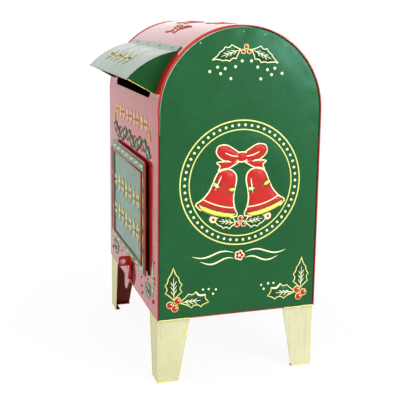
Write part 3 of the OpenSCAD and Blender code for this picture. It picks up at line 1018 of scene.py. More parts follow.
@dataclass
class Relief:
    """Ornament on one part: raised lines, domed shapes and studs, as one piece for each paint."""

    name: str
    body: str
    slot: str
    sunk_edge: float = 0.06
    sunk_back: float = 0.3
    lines: dict[Paint, list[Line]] = field(default_factory=dict)
    studs: dict[Paint, list[tuple[Vector, Vector, float]]] = field(default_factory=dict)
    shapes: dict[Paint, bmesh.types.BMesh] = field(default_factory=dict)

    def line(
        self,
        face: Face,
        points: Sequence[Point2],
        paint: Paint,
        half: float = 0.42,
        closed: bool = False,
        taper: float = 0.0,
        lift: float = 0.0,
    ) -> None:
        """Adds a raised line.

        Args:
            face: The sheet it lies on.
            points: Its course on the sheet.
            paint: Its colour.
            half: Half its width, in millimetres.
            closed: Whether it runs back to its start.
            taper: Share of the width lost at its two ends.
            lift: How far its middle stands above the sheet.
        """
        n = len(points)
        halves = [half * (1 - taper * abs(2 * i / (n - 1) - 1) ** 2.5) for i in range(n)]
        self.lines.setdefault(paint, []).append(([face.at(u, v, lift) for u, v in points], halves, closed))

    def stud(self, face: Face, at: Point2, paint: Paint, half: float = 0.9, lift: float = 0.0) -> None:
        """Adds a round dot."""
        self.studs.setdefault(paint, []).append((face.at(*at, lift), face.facing(*at), half))

    def shape(
        self,
        face: Face,
        outline: Sequence[Point2],
        paint: Paint,
        rise: float = 0.5,
        shoulder: float = 2.0,
        pitch: float = 1.6,
        lift: float = 0.0,
    ) -> None:
        """Adds a domed shape with a flat back sunk in the sheet.

        Args:
            face: The sheet it lies on.
            outline: Its edge, anticlockwise.
            paint: Its colour.
            rise: Height of its middle, in millimetres.
            shoulder: Width of the curve between its edge and its full height.
            pitch: Distance between the points inside.
            lift: How far its edge stands above the sheet.
        """
        bm = self.shapes.setdefault(paint, bmesh.new())
        spots, faces = filled(outline, pitch)
        verts = []
        for u, v in spots:
            gap = min(edge_gap((u, v), outline) / shoulder, 1.0)
            dome = rise * math.sqrt(max(1 - (1 - gap) ** 2, 0.0))
            verts.append(bm.verts.new(face.at(u, v, lift - self.sunk_edge + dome)))
        for f in faces:
            bm.faces.new([verts[i] for i in f]).smooth = True
        top = [bm.verts.new(face.at(u, v, lift - self.sunk_edge)) for u, v in outline]
        back = [bm.verts.new(face.at(u, v, lift - self.sunk_back)) for u, v in outline]
        n = len(outline)
        for i in range(n):
            bm.faces.new((top[(i + 1) % n], top[i], back[i], back[(i + 1) % n]))
        bm.faces.new(list(reversed(back)))

    def build(self) -> list[bpy.types.Object]:
        """Builds one piece for each paint and hands it over.

        Returns:
            The pieces.
        """
        made = []
        for paint in Paint:
            parts = []
            coat = paint.value.make()
            label = f"{self.name}_{paint.name.lower()}"
            if paint in self.lines:
                parts.append(grown(label + "_lines", bead_tree(), self.lines[paint], coat))
            if paint in self.studs:
                spots, facings, halves = (list(row) for row in zip(*self.studs[paint]))
                parts.append(grown(label + "_studs", stud_tree(), [(spots, halves, False)], coat, facings))
            bm = self.shapes.get(paint)
            if bm is None and not parts:
                continue
            bm = bm or bmesh.new()
            bmesh.ops.remove_doubles(bm, verts=bm.verts, dist=0.002)
            for part in parts:
                part.data.transform(Matrix.Scale(1 / MM, 4))
                bm.from_mesh(part.data)
                bpy.data.objects.remove(part)
            bmesh.ops.triangulate(bm, faces=[f for f in bm.faces if len(f.verts) > 4])
            made.append(hand_over(settle(label, bm, coat), self.body, self.slot))
        return made


def holly_leaf(length: float, width: float) -> Shape:
    """Outlines a spiny leaf that lies along +u from its stalk.

    Args:
        length: Stalk to tip, in millimetres.
        width: Across its spines.

    Returns:
        The outline, anticlockwise.
    """
    edge = (
        (0.06, 0.10), (0.12, 0.22), (0.18, 0.35), (0.235, 0.50), (0.29, 0.41), (0.35, 0.39), (0.41, 0.42),
        (0.465, 0.51), (0.53, 0.39), (0.60, 0.33), (0.68, 0.31), (0.76, 0.18), (0.84, 0.10), (0.92, 0.045),
    )
    lower = [(0.0, -0.02)] + [(t, -w) for t, w in edge] + [(1.0, 0.0)]
    upper = [(t, w) for t, w in reversed(edge)] + [(0.0, 0.02)]
    return [(u * length, v * width) for u, v in lower + upper]


# The brightest edge of the spread leaf.
SPREAD_CREST = ((0.858, 0.267), (0.77, 0.24), (0.676, 0.235), (0.60, 0.27), (0.52, 0.365))


def spread_leaf() -> Shape:
    """Outlines a spiny leaf, one long, widest past its middle and deeply hollowed on its upper edge.

    Returns:
        The outline, anticlockwise.
    """
    lower = (
        (0.0, -0.02), (0.10, -0.04), (0.24, -0.085), (0.33, -0.12), (0.42, -0.19), (0.48, -0.11),
        (0.59, -0.085), (0.68, -0.11), (0.743, -0.17), (0.80, -0.09), (0.88, -0.05), (1.0, 0.0),
    )
    tip = ((0.92, 0.07), (0.865, 0.15))
    stalk = (
        (0.46, 0.285), (0.40, 0.265), (0.34, 0.27), (0.28, 0.29), (0.18, 0.17), (0.06, 0.06), (0.0, 0.02)
    )
    return [*lower, *tip, *SPREAD_CREST, *stalk]


def draw_leaf(
    art: Relief,
    face: Face,
    base: Point2,
    tip: Point2,
    width: float,
    fill: Paint,
    rim: Paint,
    vein: Paint,
    half: float = 0.42,
    rise: float = 0.6,
    spread: bool = False,
) -> None:
    """Draws a holly leaf with its outline, midrib and side veins.

    Args:
        art: The relief that gets it.
        face: The sheet it lies on.
        base: Where its stalk is.
        tip: Where it ends.
        width: Across its spines.
        fill: Colour of the leaf.
        rim: Colour of its outline.
        vein: Colour of its veins.
        half: Half the width of its outline.
        rise: How far it stands up.
        spread: Whether it has the wider, lopsided outline, with its deep hollows on the upper side.
    """
    length = math.dist(base, tip)
    turn = math.degrees(math.atan2(tip[1] - base[1], tip[0] - base[0]))
    lean = 0.0
    outline = placed(holly_leaf(length, width), base, turn)
    if spread:
        flip = tip[0] < base[0]
        lean = length * 0.07 * (-1 if flip else 1)
        outline = placed(spread_leaf(), base, turn - 180 if flip else turn, length, flip)
    art.shape(face, outline, fill, rise=rise, shoulder=width * 0.3, pitch=width * 0.22)
    art.line(face, outline, rim, half=half, closed=True, lift=0.06)
    midrib = placed([(length * 0.04, 0), (length * 0.3, lean * 0.6), (length * 0.7, lean)], base, turn)
    art.line(face, midrib, vein, half=half * 0.9, taper=0.5, lift=rise)
    for t, side in ((0.16, 1), (0.20, -1), (0.30, 1), (0.33, -1), (0.44, 1), (0.46, -1)):
        reach, drop = side * width, lean * t * 1.6
        rib = [
            (length * t, drop),
            (length * (t + 0.06), reach * 0.10 + drop),
            (length * (t + 0.13), reach * 0.17 + drop),
        ]
        art.line(face, placed(rib, base, turn), vein, half=half * 0.75, taper=0.4, lift=rise * 0.9)


def draw_berry(art: Relief, face: Face, at: Point2, half: float = 1.5, rim: Paint = Paint.CREAM) -> None:
    """Draws a red berry with a pale rim and a small shine.

    Args:
        art: The relief that gets it.
        face: The sheet it lies on.
        at: Its middle.
        half: Its radius, in millimetres.
        rim: Colour of its rim.
    """
    art.stud(face, at, Paint.RED, half=half)
    art.line(face, ring(half * 1.02, 20, at), rim, half=0.30, closed=True)
    art.stud(
        face, (at[0] + half * 0.26, at[1] + half * 0.28), Paint.SHINE, half=half * 0.27, lift=half * 0.40
    )


def draw_rosette(
    art: Relief,
    face: Face,
    at: Point2,
    size: float,
    petals: int,
    fill: Paint,
    eye: Paint,
    rim: Paint | None = None,
) -> None:
    """Draws a flower of equal petals round an eye.

    Args:
        art: The relief that gets it.
        face: The sheet it lies on.
        at: Its middle.
        size: Its radius, in millimetres.
        petals: How many petals.
        fill: Colour of the petals.
        eye: Colour of the middle.
        rim: Colour of a line round the petals, if any.
    """
    outline = []
    for i in range(petals * 8):
        a = 2 * math.pi * i / (petals * 8)
        r = size * (0.62 + 0.38 * abs(math.cos(petals * a / 2)) ** 0.7)
        outline.append((at[0] + r * math.cos(a), at[1] + r * math.sin(a)))
    art.shape(face, outline, fill, rise=0.35, shoulder=size * 0.35, pitch=size * 0.3)
    if rim:
        art.line(face, outline, rim, half=0.34, closed=True, lift=0.02)
    art.stud(face, at, eye, half=size * 0.28, lift=0.15)


def draw_bauble(
    art: Relief, face: Face, at: Point2, wide: float, tall: float, fill: Paint, shade: Paint
) -> None:
    """Draws a solid bauble with a cap, a painted belt and a dark shade at its lower right.

    Args:
        art: The relief that gets it.
        face: The sheet it lies on.
        at: Its middle.
        wide: Its width, in millimetres.
        tall: Its height.
        fill: Colour of its body.
        shade: Colour of the shade.
    """
    w, h = wide / 2, tall / 2
    cap = ((0.0, 1.0), (0.22, 1.0), (0.22, 0.76))
    ball = ((0.60, 0.58), (0.88, 0.22), (0.94, -0.12), (0.80, -0.52), (0.48, -0.84), (0.0, -0.98))
    outline = mirrored([(x * w, y * h) for x, y in (*cap, *ball)])
    cast = placed(outline, (at[0] + wide * 0.09, at[1] - wide * 0.07))
    art.shape(face, cast, shade, rise=0.05, shoulder=w * 0.3, pitch=w * 0.5, lift=0.12)
    art.shape(face, placed(outline, at), fill, rise=0.16, shoulder=w * 0.35, pitch=w * 0.5, lift=0.22)
    belt = placed([(-w * 0.84, -h * 0.12), (0.0, -h * 0.22), (w * 0.84, -h * 0.12)], at)
    art.line(face, belt, shade, half=0.36, lift=0.26)


def draw_row(
    art: Relief,
    face: Face,
    first: Point2,
    step: float,
    count: int,
    size: tuple[float, float],
    shade: Paint,
    fill: Paint = Paint.GOLD,
) -> None:
    """Draws a row of six-petalled flowers and baubles by turns, each with a dark shade at its lower right.

    Args:
        art: The relief that gets it.
        face: The sheet it lies on.
        first: Middle of the first one.
        step: Distance between their middles.
        count: How many.
        size: Width and height of each.
        shade: Colour of their shades and flower eyes.
        fill: Colour of the flowers and baubles.
    """
    for k in range(count):
        at = (first[0] + step * k, first[1])
        if k % 2:
            draw_bauble(art, face, at, size[0] * 0.78, size[1], fill, shade)
            continue
        petals = []
        for i in range(60):
            a = 2 * math.pi * i / 60
            r = 0.34 + 0.66 * abs(math.cos(3 * a)) ** 0.8
            petals.append((-r * math.sin(a) * size[0] * 0.5, r * math.cos(a) * size[1] * 0.5))
        art.shape(
            face,
            placed(petals, (at[0] + 0.9, at[1] - 0.9)),
            shade,
            rise=0.05,
            shoulder=1.0,
            pitch=1.6,
            lift=0.12,
        )
        art.shape(face, placed(petals, at), fill, rise=0.16, shoulder=1.4, pitch=1.6, lift=0.22)
        art.stud(face, at, shade, half=size[0] * 0.12, lift=0.25)


def draw_dash(art: Relief, face: Face, at: Point2, length: float, width: float, turn: float) -> None:
    """Draws a gold dash with pointed ends that bends a little.

    Args:
        art: The relief that gets it.
        face: The sheet it lies on.
        at: Its middle.
        length: Its length, in millimetres.
        width: Its width.
        turn: Its turn in degrees, anticlockwise.
    """
    end = length / 2
    lower = [(-end, -width * 0.5), (0, -width * 0.38), (end, width * 0.1)]
    upper = [(end, width * 0.5), (0, width * 0.42), (-end, -width * 0.05)]
    edge = placed(through(lower + upper, 2, True), at, turn)
    art.shape(face, edge, Paint.GOLD, rise=0.12, shoulder=width * 0.4, pitch=width * 0.7, lift=0.16)


# --- pressed skins -----------------------------------------------------------------------------


@dataclass(frozen=True)
class PressedTray:
    """A sheet pressed to a shallow tray: a face, a rounded bend and a rim turned back, in millimetres."""

    bend: float
    rim: float
    pitch: float
    thickness: float = 0.6

    def mesh(
        self, name: str, face: FlatFace, outline: Shape, open_edges: Callable[[Point2], bool] | None = None
    ) -> bpy.types.Object:
        """Builds the tray.

        Args:
            name: Name of the piece.
            face: The sheet's own surface.
            outline: Its outer edge, anticlockwise.
            open_edges: Tells of a rim's midpoint whether the rim is left out there.

        Returns:
            The object, with its wall thickness and no materials.
        """
        bm = bmesh.new()
        rings: list[list[bmesh.types.BMVert]] = []
        steps = 4
        flat = shrunk(outline, self.bend)
        spots, faces = filled(flat, self.pitch)
        verts = [bm.verts.new(face.at(u, v)) for u, v in spots]
        for f in faces:
            bm.faces.new([verts[i] for i in f]).smooth = True
        for k in range(steps + 1):
            a = math.radians(90 * k / steps)
            edge = shrunk(outline, self.bend * (1 - math.sin(a)))
            rings.append([bm.verts.new(face.at(u, v, -self.bend * (1 - math.cos(a)))) for u, v in edge])
        rings.append([bm.verts.new(face.at(u, v, -self.rim)) for u, v in outline])
        n = len(outline)
        for k in range(len(rings) - 1):
            for i in range(n):
                j = (i + 1) % n
                middle = ((outline[i][0] + outline[j][0]) / 2, (outline[i][1] + outline[j][1]) / 2)
                if k == steps and open_edges and open_edges(middle):
                    continue
                bm.faces.new((rings[k][i], rings[k + 1][i], rings[k + 1][j], rings[k][j])).smooth = True
        bmesh.ops.remove_doubles(bm, verts=bm.verts, dist=0.004)
        bmesh.ops.delete(bm, geom=[v for v in bm.verts if not v.link_faces], context="VERTS")
        made = settle(name, bm)
        wall = made.modifiers.new("wall", "SOLIDIFY")
        wall.thickness = self.thickness * MM
        wall.offset = -1.0
        wall.use_even_offset = True
        return freeze(made)


@dataclass
class SidePanel:
    """A green side panel with its turned rim, its soft swelling and its pressed picture, in millimetres."""

    sign: int
    dent: float = 0.22
    dome: float = 0.55
    crimp: float = 0.4
    bend: float = 0.9
    pitch: float = 3.4
    notch_count: int = 11
    picture: Point2 = (0.0, 80.0)
    picture_lift: float = 0.35
    picture_radius: float = 31.0
    ring_lines: tuple[tuple[float, float], ...] = ((37.0, 0.44), (31.6, 0.38))
    bead_ring: float = 34.3
    bead_count: int = 54
    bell_shift: Point2 = (11.8, -5.0)
    bell_turn: float = 17.0
    bell_rise: float = 1.5
    bell_shoulder: float = 8.0

    @property
    def side(self) -> str:
        """Name of the side as seen from the front."""
        return "right" if self.sign > 0 else "left"

    def __post_init__(self) -> None:
        """Reads the panel's place from the frame; its levels are measured from the walls' foot."""
        low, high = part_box(f"{self.side}_side_panel")
        self.half = (high.y - low.y) / 2 / MM
        self.foot = low.z / MM - WALL_FOOT
        self.axis = high.z / MM - self.half - WALL_FOOT
        self.rim = (high.x - low.x) / MM
        corner = Vector(((high.x if self.sign > 0 else low.x) / MM, (high.y + low.y) / 2 / MM, WALL_FOOT))
        right, outward = Vector((0.0, float(self.sign), 0.0)), Vector((float(self.sign), 0.0, 0.0))
        self.face = FlatFace(corner, right, outward, self.swell)
        self.outline = self.edge()

    def edge(self) -> Shape:
        """Lists the panel's outline, anticlockwise, from its lower left corner.

        Returns:
            The corners.
        """
        r, rise = self.half, self.axis - self.foot
        foot_steps, side_steps, arch_steps = 20, 28, 30
        arch = [math.pi * i / arch_steps for i in range(arch_steps)]
        made = [(-r + 2 * r * i / foot_steps, self.foot) for i in range(foot_steps)]
        made += [(r, self.foot + rise * i / side_steps) for i in range(side_steps)]
        made += [(r * math.cos(a), self.axis + r * math.sin(a)) for a in arch]
        made += [(-r, self.axis - rise * i / side_steps) for i in range(side_steps)]
        return made

    def swell(self, u: float, v: float) -> float:
        """Gives how far the thin sheet stands out of its flat plane, in millimetres.

        Args:
            u: Place across the panel.
            v: Place up the panel.

        Returns:
            The height of the sheet there.
        """
        if v < self.axis:
            rim = min(self.half - abs(u), v - self.foot)
        else:
            rim = self.half - math.hypot(u, v - self.axis)
        slow = noise.noise(Vector((u * 0.034, v * 0.03, 4.7 * self.sign)))
        quick = noise.noise(Vector((u * 0.09, v * 0.08, 9.1 * self.sign)))
        sheet = eased(rim / 16.0) * (self.dome + self.dent * (slow + 0.4 * quick))
        boss = eased((self.picture_radius - math.dist((u, v), self.picture)) / 3.0)
        crimp = 0.0
        if v > self.axis - 12 and rim < 7:
            along = (math.atan2(v - self.axis, u) / math.pi * self.notch_count) % 1.0 - 0.5
            crimp = self.crimp * math.exp(-(((rim - 2.6) / 1.7) ** 2) - (along * 16.0 / 2.4) ** 2)
        return sheet - crimp + self.picture_lift * boss

    def notch_places(self) -> set[Point2]:
        """Finds the middles of those edges of the outline that lie nearest to the rim's notches.

        Returns:
            The middles.
        """
        length = 0.0
        marks: list[tuple[float, Point2]] = []
        for a, b in zip(self.outline, (*self.outline[1:], self.outline[0])):
            marks.append((length, ((a[0] + b[0]) / 2, (a[1] + b[1]) / 2)))
            length += math.dist(a, b)
        step = length / (self.notch_count * 2)
        wanted = [step * (k + 0.5) for k in range(self.notch_count * 2)]
        return {min(marks, key=lambda mark: abs(mark[0] - place))[1] for place in wanted}

    def build(self) -> None:
        """Builds the panel and its picture."""
        notches = self.notch_places()

        def cut(middle: Point2) -> bool:
            """Leaves the rim out at its notches and under the foot edge."""
            return middle in notches or middle[1] < self.foot + 0.1

        tray = PressedTray(bend=self.bend, rim=self.rim, pitch=self.pitch)
        made = tray.mesh(f"{self.side}_panel_skin", self.face, self.outline, cut)
        for coat in (Coat.GREEN, Coat.INSIDE):
            made.data.materials.append(coat.value.make())
        for polygon in made.data.polygons:
            polygon.material_index = 0 if polygon.normal.x * self.sign > 0.2 else 1
        hand_over(made, "case", "green_enamel", f"{self.side}_side_panel")
        art = Relief(f"{self.side}_panel_art", "case", "green_enamel")
        self.draw_medallion(art)
        self.draw_top(art)
        self.draw_corners(art)
        art.build()

    def draw_medallion(self, art: Relief) -> None:
        """Draws two bells under a bow in a beaded ring, and waves and a flower under the ring.

        Args:
            art: The relief that gets it.
        """
        face, (cu, cv) = self.face, self.picture
        for radius, half in self.ring_lines:
            art.line(face, ring(radius, 120, self.picture), Paint.STRAW, half=half, closed=True)
        for at in ring(self.bead_ring, self.bead_count, self.picture):
            art.stud(face, at, Paint.CREAM, half=0.85)
        for side in (-1, 1):
            self.draw_bell(art, side)
        self.draw_bow(art, (cu, cv + 15.5))
        for side in (-1, 1):
            base, tip = (cu + 2.6 * side, cv - 23.5), (cu + 18.5 * side, cv - 21.0)
            draw_leaf(art, face, base, tip, 8.4, Paint.FOREST, Paint.CREAM, Paint.CREAM, half=0.32)
        for u, v in ((-2.0, -24.4), (2.0, -24.4), (0.0, -21.0)):
            draw_berry(art, face, (cu + u, cv + v), 1.55)
        for side in (-1, 1):
            for tier, (v, reach) in enumerate(((-42.0, 26.0), (-46.2, 21.0))):
                wave = []
                for i in range(21):
                    sway = 1.5 * math.sin(i / 20 * 2 * math.pi + tier * 0.5) - 0.02 * i
                    wave.append((cu + side * (3.5 + reach * i / 20), cv + v + sway))
                art.line(face, wave, Paint.CREAM, half=0.5, taper=0.85)
        draw_rosette(art, face, (cu, cv - 43.8), 3.0, 5, Paint.RED, Paint.CREAM, Paint.CREAM)

    def draw_bell(self, art: Relief, side: int) -> None:
        """Draws one bell with its seam, its two bands, its clapper and its shine.

        Args:
            art: The relief that gets it.
            side: One for the bell on the right and minus one for the bell on the left.
        """
        face = self.face
        at = (self.picture[0] + self.bell_shift[0] * side, self.picture[1] + self.bell_shift[1])
        turn = self.bell_turn * side
        flank = [
            (0, 14.2), (2.6, 13.9), (5.2, 12.0), (6.5, 8.6), (7.0, 3.6), (8.0, -1.8), (10.4, -6.8),
            (13.0, -9.8),
        ]
        mouth = [(13.2, -11.2), (10.0, -12.9), (5.0, -13.9), (0, -14.2)]
        bell = placed(mirrored(through(flank, 4) + mouth), at, turn)
        art.shape(face, bell, Paint.RED, rise=self.bell_rise, shoulder=self.bell_shoulder, pitch=1.5)
        art.line(face, bell, Paint.CREAM, half=0.46, closed=True, lift=0.1)
        seam = placed(sagging(9.9, -6.6), at, turn)
        for first, second in zip(seam[:-1], seam[1:]):
            middle = ((first[0] + second[0]) / 2, (first[1] + second[1]) / 2)
            gap = min(edge_gap(middle, bell) / self.bell_shoulder, 1.0)
            lift = self.bell_rise * math.sqrt(max(1 - (1 - gap) ** 2, 0.0)) - 0.02
            art.line(face, [first, second], Paint.CREAM, half=0.36, lift=lift)
        bands = (((-9.5, 12.3), (-13.0, 9.2)), ((5.2, 6.4), (2.4, 6.9)))
        for (high, high_reach), (low, low_reach) in bands:
            upper, lower = sagging(high_reach, high), sagging(low_reach, low)
            band = placed([*lower, *reversed(upper)], at, turn)
            art.shape(face, band, Paint.YELLOW, rise=0.3, shoulder=1.0, pitch=1.2, lift=1.0)
            for edge in (lower, upper):
                art.line(face, placed(edge, at, turn), Paint.PINE, half=0.34, lift=1.1)
        clapper = placed([(0.4 * side, -16.4)], at, turn)[0]
        art.stud(face, clapper, Paint.CREAM, half=2.5, lift=-0.3)
        art.stud(face, clapper, Paint.RED, half=2.0)
        shine = placed(through([(-3.6, 9.6), (-4.3, 5.0), (-4.9, 0.6)], 3), at, turn)
        art.line(face, shine, Paint.SHINE, half=0.36, taper=0.8, lift=1.15)

    def draw_bow(self, art: Relief, at: Point2) -> None:
        """Draws a ribbon bow with two loops, two tails and a knot.

        Args:
            art: The relief that gets it.
            at: Middle of the knot.
        """
        face = self.face
        tail = [
            (0.5, -1.5), (4.5, -4.5), (8.8, -6.6), (14.2, -8.0), (13.2, -4.9), (15.2, -2.6), (9.0, -2.0),
            (4.0, 0.2),
        ]
        loop = [
            (0.4, -1.6), (5.0, -2.6), (11.2, -1.6), (15.4, 2.4), (14.6, 6.6), (9.6, 7.4), (4.2, 4.4),
            (0.8, 1.6),
        ]
        knot = [
            (-2.6, -2.2), (0, -2.8), (2.6, -2.2), (3.0, 0.2), (2.4, 2.6), (0, 3.0), (-2.4, 2.6), (-3.0, 0.2)
        ]
        crease = through([(2.4, 0.6), (6.4, 1.2), (10.6, 3.0)], 4)
        for mirror in (False, True):
            for outline, steps, rise in ((tail, 3, 0.6), (loop, 4, 1.1)):
                shape = placed(through(outline, steps, True), at, mirror=mirror)
                art.shape(face, shape, Paint.RED, rise=rise, shoulder=2.4, pitch=1.3)
                art.line(face, shape, Paint.CREAM, half=0.4, closed=True, lift=0.1)
            art.line(face, placed(crease, at, mirror=mirror), Paint.CREAM, half=0.36, taper=0.7, lift=1.05)
        knot = placed(through(knot, 3, True), at)
        art.shape(face, knot, Paint.RED, rise=1.5, shoulder=2.2, pitch=1.2)
        art.line(face, knot, Paint.CREAM, half=0.38, closed=True, lift=0.35)

    def draw_top(self, art: Relief) -> None:
        """Draws the holly sprig, the snow of dots and pale dots of painted highlight on the rim's crimp
        dents under the top of the arch.

        Args:
            art: The relief that gets it.
        """
        face = self.face
        for base, tip in (((-1.9, 157.5), (-18.7, 151.7)), ((4.9, 157.3), (21.2, 149.7))):
            draw_leaf(art, face, base, tip, 8.4, Paint.FOREST, Paint.CREAM, Paint.CREAM, half=0.31)
            art.stud(face, (tip[0] * 0.97 + base[0] * 0.03, tip[1]), Paint.YELLOW, half=0.62)
        for at in ((1.6, 159.0), (-0.1, 156.3), (3.4, 156.3)):
            draw_berry(art, face, at, 1.22, Paint.STRAW)
        snow = (
            (-20.1, 145.1), (-15.6, 147.5), (-13.7, 143.8), (-11, 146.7), (-7.5, 141), (-4.8, 147.7),
            (-0.8, 150.9), (4.8, 150.9), (8.7, 147.3), (14.7, 145.8), (10.7, 140.6), (17.3, 142.9),
            (19.2, 146.6), (23.8, 143.6),
        )
        for at in snow:
            art.stud(face, at, Paint.CREAM, half=0.92)
        # pale dots of painted highlight on the rim's crimp dents
        for k in range(2, self.notch_count - 2):
            a = math.pi * (k + 0.5) / self.notch_count
            reach = self.half - 2.4 - 0.7 * math.sin(5.3 * k)
            at = (reach * math.cos(a), self.axis + reach * math.sin(a))
            art.stud(face, at, Paint.RUBBED, half=0.55 + 0.16 * math.sin(2.1 * k))

    def draw_corners(self, art: Relief) -> None:
        """Draws the holly and dots in the two lower corners.

        Args:
            art: The relief that gets it.
        """
        face = self.face
        for side in (-1, 1):
            base, tip = (40.2 * side, 12.0), (40.6 * side, 31.8)
            draw_leaf(art, face, base, tip, 10.0, Paint.FOREST, Paint.STRAW, Paint.CREAM, half=0.33)
            base, tip = (36.6 * side, 10.2), (18.7 * side, 9.0)
            draw_leaf(
                art, face, base, tip, 9.0, Paint.FOREST, Paint.STRAW, Paint.CREAM, half=0.33, spread=True
            )
            turn = math.degrees(math.atan2(tip[1] - base[1], -side * (tip[0] - base[0]))) * -side
            crest = placed(SPREAD_CREST, base, turn, 18.0, side > 0)
            art.line(face, crest, Paint.CREAM, half=0.62, taper=0.4, lift=0.1)
            for u, v in ((37.9, 11.4), (42.4, 9.2), (39.4, 6.8)):
                draw_berry(art, face, (u * side, v), 1.95, Paint.STRAW)
            for u, v in ((14.4, 16.4), (16.1, 13.8), (18.9, 17.0), (22.4, 17.0)):
                art.stud(face, (u * side, v), Paint.CREAM, half=0.7)


@dataclass
class DoorSkin:
    """The door: a green tray with a red rim, a raised frame line and gold ornament, in millimetres."""

    frame_in: float = 7.2
    frame_drop: float = 1.6
    corner: float = 2.0
    bend: float = 0.5
    pitch: float = 1.5
    rim_band: float = 0.45
    field_rise: float = 0.4
    dash_pitch: float = 13.0
    side_dash_pitch: float = 12.4
    row_pitch: float = 10.9
    row_levels: tuple[float, float] = (103.6, 83.4)

    def __post_init__(self) -> None:
        """Reads the door's place from the frame, and sets its raised field out from it."""
        low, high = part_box("door_panel")
        self.half = (high.x - low.x) / 2 / MM
        self.foot, self.head = low.z / MM, high.z / MM
        self.rim = (high.y - low.y) / MM
        self.field_half = self.half - self.frame_in
        self.field_foot = self.foot + self.frame_in - self.frame_drop
        self.field_head = self.head - self.frame_in
        right, outward = Vector((1.0, 0.0, 0.0)), Vector((0.0, -1.0, 0.0))
        self.face = FlatFace(Vector((0.0, low.y / MM, 0.0)), right, outward, self.swell)

    def swell(self, u: float, v: float) -> float:
        """Gives how far the door's sheet stands out of its flat plane, in millimetres.

        Args:
            u: Place across the door.
            v: Place up it.

        Returns:
            The height of the sheet there.
        """
        inner = min(self.field_half - abs(u), self.field_head - v, v - self.field_foot)
        rim = min(self.half - abs(u), self.head - v, v - self.foot)
        sheet = 0.12 * min(max(rim / 10.0, 0.0), 1.0) * noise.noise(Vector((u * 0.05, v * 0.05, 2.0)))
        return self.field_rise * (eased((inner + 0.6) / 1.2) - 1.0) + sheet

    def edge(self) -> Shape:
        """Lists the door's outline with its rounded corners, anticlockwise, in steps of 3 mm or less.

        Returns:
            The corners.
        """
        w, lo, hi, r = self.half, self.foot, self.head, self.corner
        corners = ((w - r, lo + r, -90), (w - r, hi - r, 0), (-w + r, hi - r, 90), (-w + r, lo + r, 180))
        outline: Shape = []
        for cu, cv, start in corners:
            for i in range(5):
                a = math.radians(start + 22.5 * i)
                outline.append((cu + r * math.cos(a), cv + r * math.sin(a)))
        dense: Shape = []
        for a, b in zip(outline, (*outline[1:], outline[0])):
            steps = max(int(math.dist(a, b) / 3.0), 1)
            dense += [
                (a[0] + (b[0] - a[0]) * i / steps, a[1] + (b[1] - a[1]) * i / steps) for i in range(steps)
            ]
        return dense

    def coat_at(self, spot: Vector, normal: Vector) -> Coat:
        """Tells the finish of the door's sheet.

        Args:
            spot: A place on it, in millimetres.
            normal: Which way it faces there.

        Returns:
            Green on the face, red on the rim and maroon behind.
        """
        if normal.y < -0.75:
            in_field = abs(spot.x) < self.field_half and self.field_foot < spot.z < self.field_head
            return Coat.FIELD if in_field else Coat.DOOR
        side, foot, head = self.half - self.rim_band, self.foot + self.rim_band, self.head - self.rim_band
        return Coat.INSIDE if abs(spot.x) <= side and foot <= spot.z <= head else Coat.RED

    def build(self) -> None:
        """Builds the door and its ornament."""
        tray = PressedTray(bend=self.bend, rim=self.rim, pitch=self.pitch)
        made = tray.mesh("door_skin", self.face, self.edge())
        coats = (Coat.DOOR, Coat.RED, Coat.INSIDE, Coat.FIELD)
        for coat in coats:
            made.data.materials.append(coat.value.make())
        for polygon in made.data.polygons:
            polygon.material_index = coats.index(self.coat_at(polygon.center / MM, polygon.normal))
        hand_over(made, "door", "green_enamel", "door_panel")
        art = Relief("door_art", "door", "green_enamel")
        self.draw_frame(art)
        self.draw_ornament(art)
        art.build()

    def draw_frame(self, art: Relief) -> None:
        """Draws the red frame line, its dark shades and the shade down the field's left side.

        Args:
            art: The relief that gets it.
        """
        face, inner, low, high = self.face, self.field_half, self.field_foot, self.field_head
        frame_line = [(-inner, high), (-inner, low), (inner, low), (inner, high)]
        art.line(face, frame_line, Paint.RED, half=0.62, closed=True, lift=0.05)
        inner_shade = [(-inner + 1.0, high - 1.0), (-inner + 1.0, low + 1.0), (inner - 1.2, low + 1.0)]
        art.line(face, inner_shade, Paint.PINE, half=0.55, lift=0.02)
        side, head = self.half - 1.3, self.head - 1.3
        art.line(face, [(side, self.foot + 1.6), (side, head), (-side, head)], Paint.PINE, half=0.4)
        left = -inner + 0.5
        band = [(left, low + 0.8), (left + 4.5, low + 0.8), (left + 4.9, high - 0.8), (left, high - 0.8)]
        art.shape(face, band, Paint.FOREST, rise=0.04, shoulder=0.6, pitch=2.4, lift=0.1)

    def draw_ornament(self, art: Relief) -> None:
        """Draws the dashes round the frame line and two rows of flowers and baubles.

        Args:
            art: The relief that gets it.
        """
        face, low = self.face, self.field_foot
        middle_u = (self.field_half + self.half) / 2
        middle_head, middle_foot = (self.field_head + self.head) / 2, (low + self.foot) / 2
        for k in range(7):
            for v in (middle_head, middle_foot):
                draw_dash(art, face, (self.dash_pitch * (k - 3), v), 9.6, 2.0, 2.0)
        for k in range(5):
            for side in (-1, 1):
                draw_dash(
                    art, face, (middle_u * side, low + 3.6 + self.side_dash_pitch * k), 9.0, 2.4, 86.0
                )
        for v in self.row_levels:
            draw_row(art, face, (-3 * self.row_pitch, v), self.row_pitch, 7, (9.2, 12.6), Paint.PINE)


# --- trim --------------------------------------------------------------------------------------


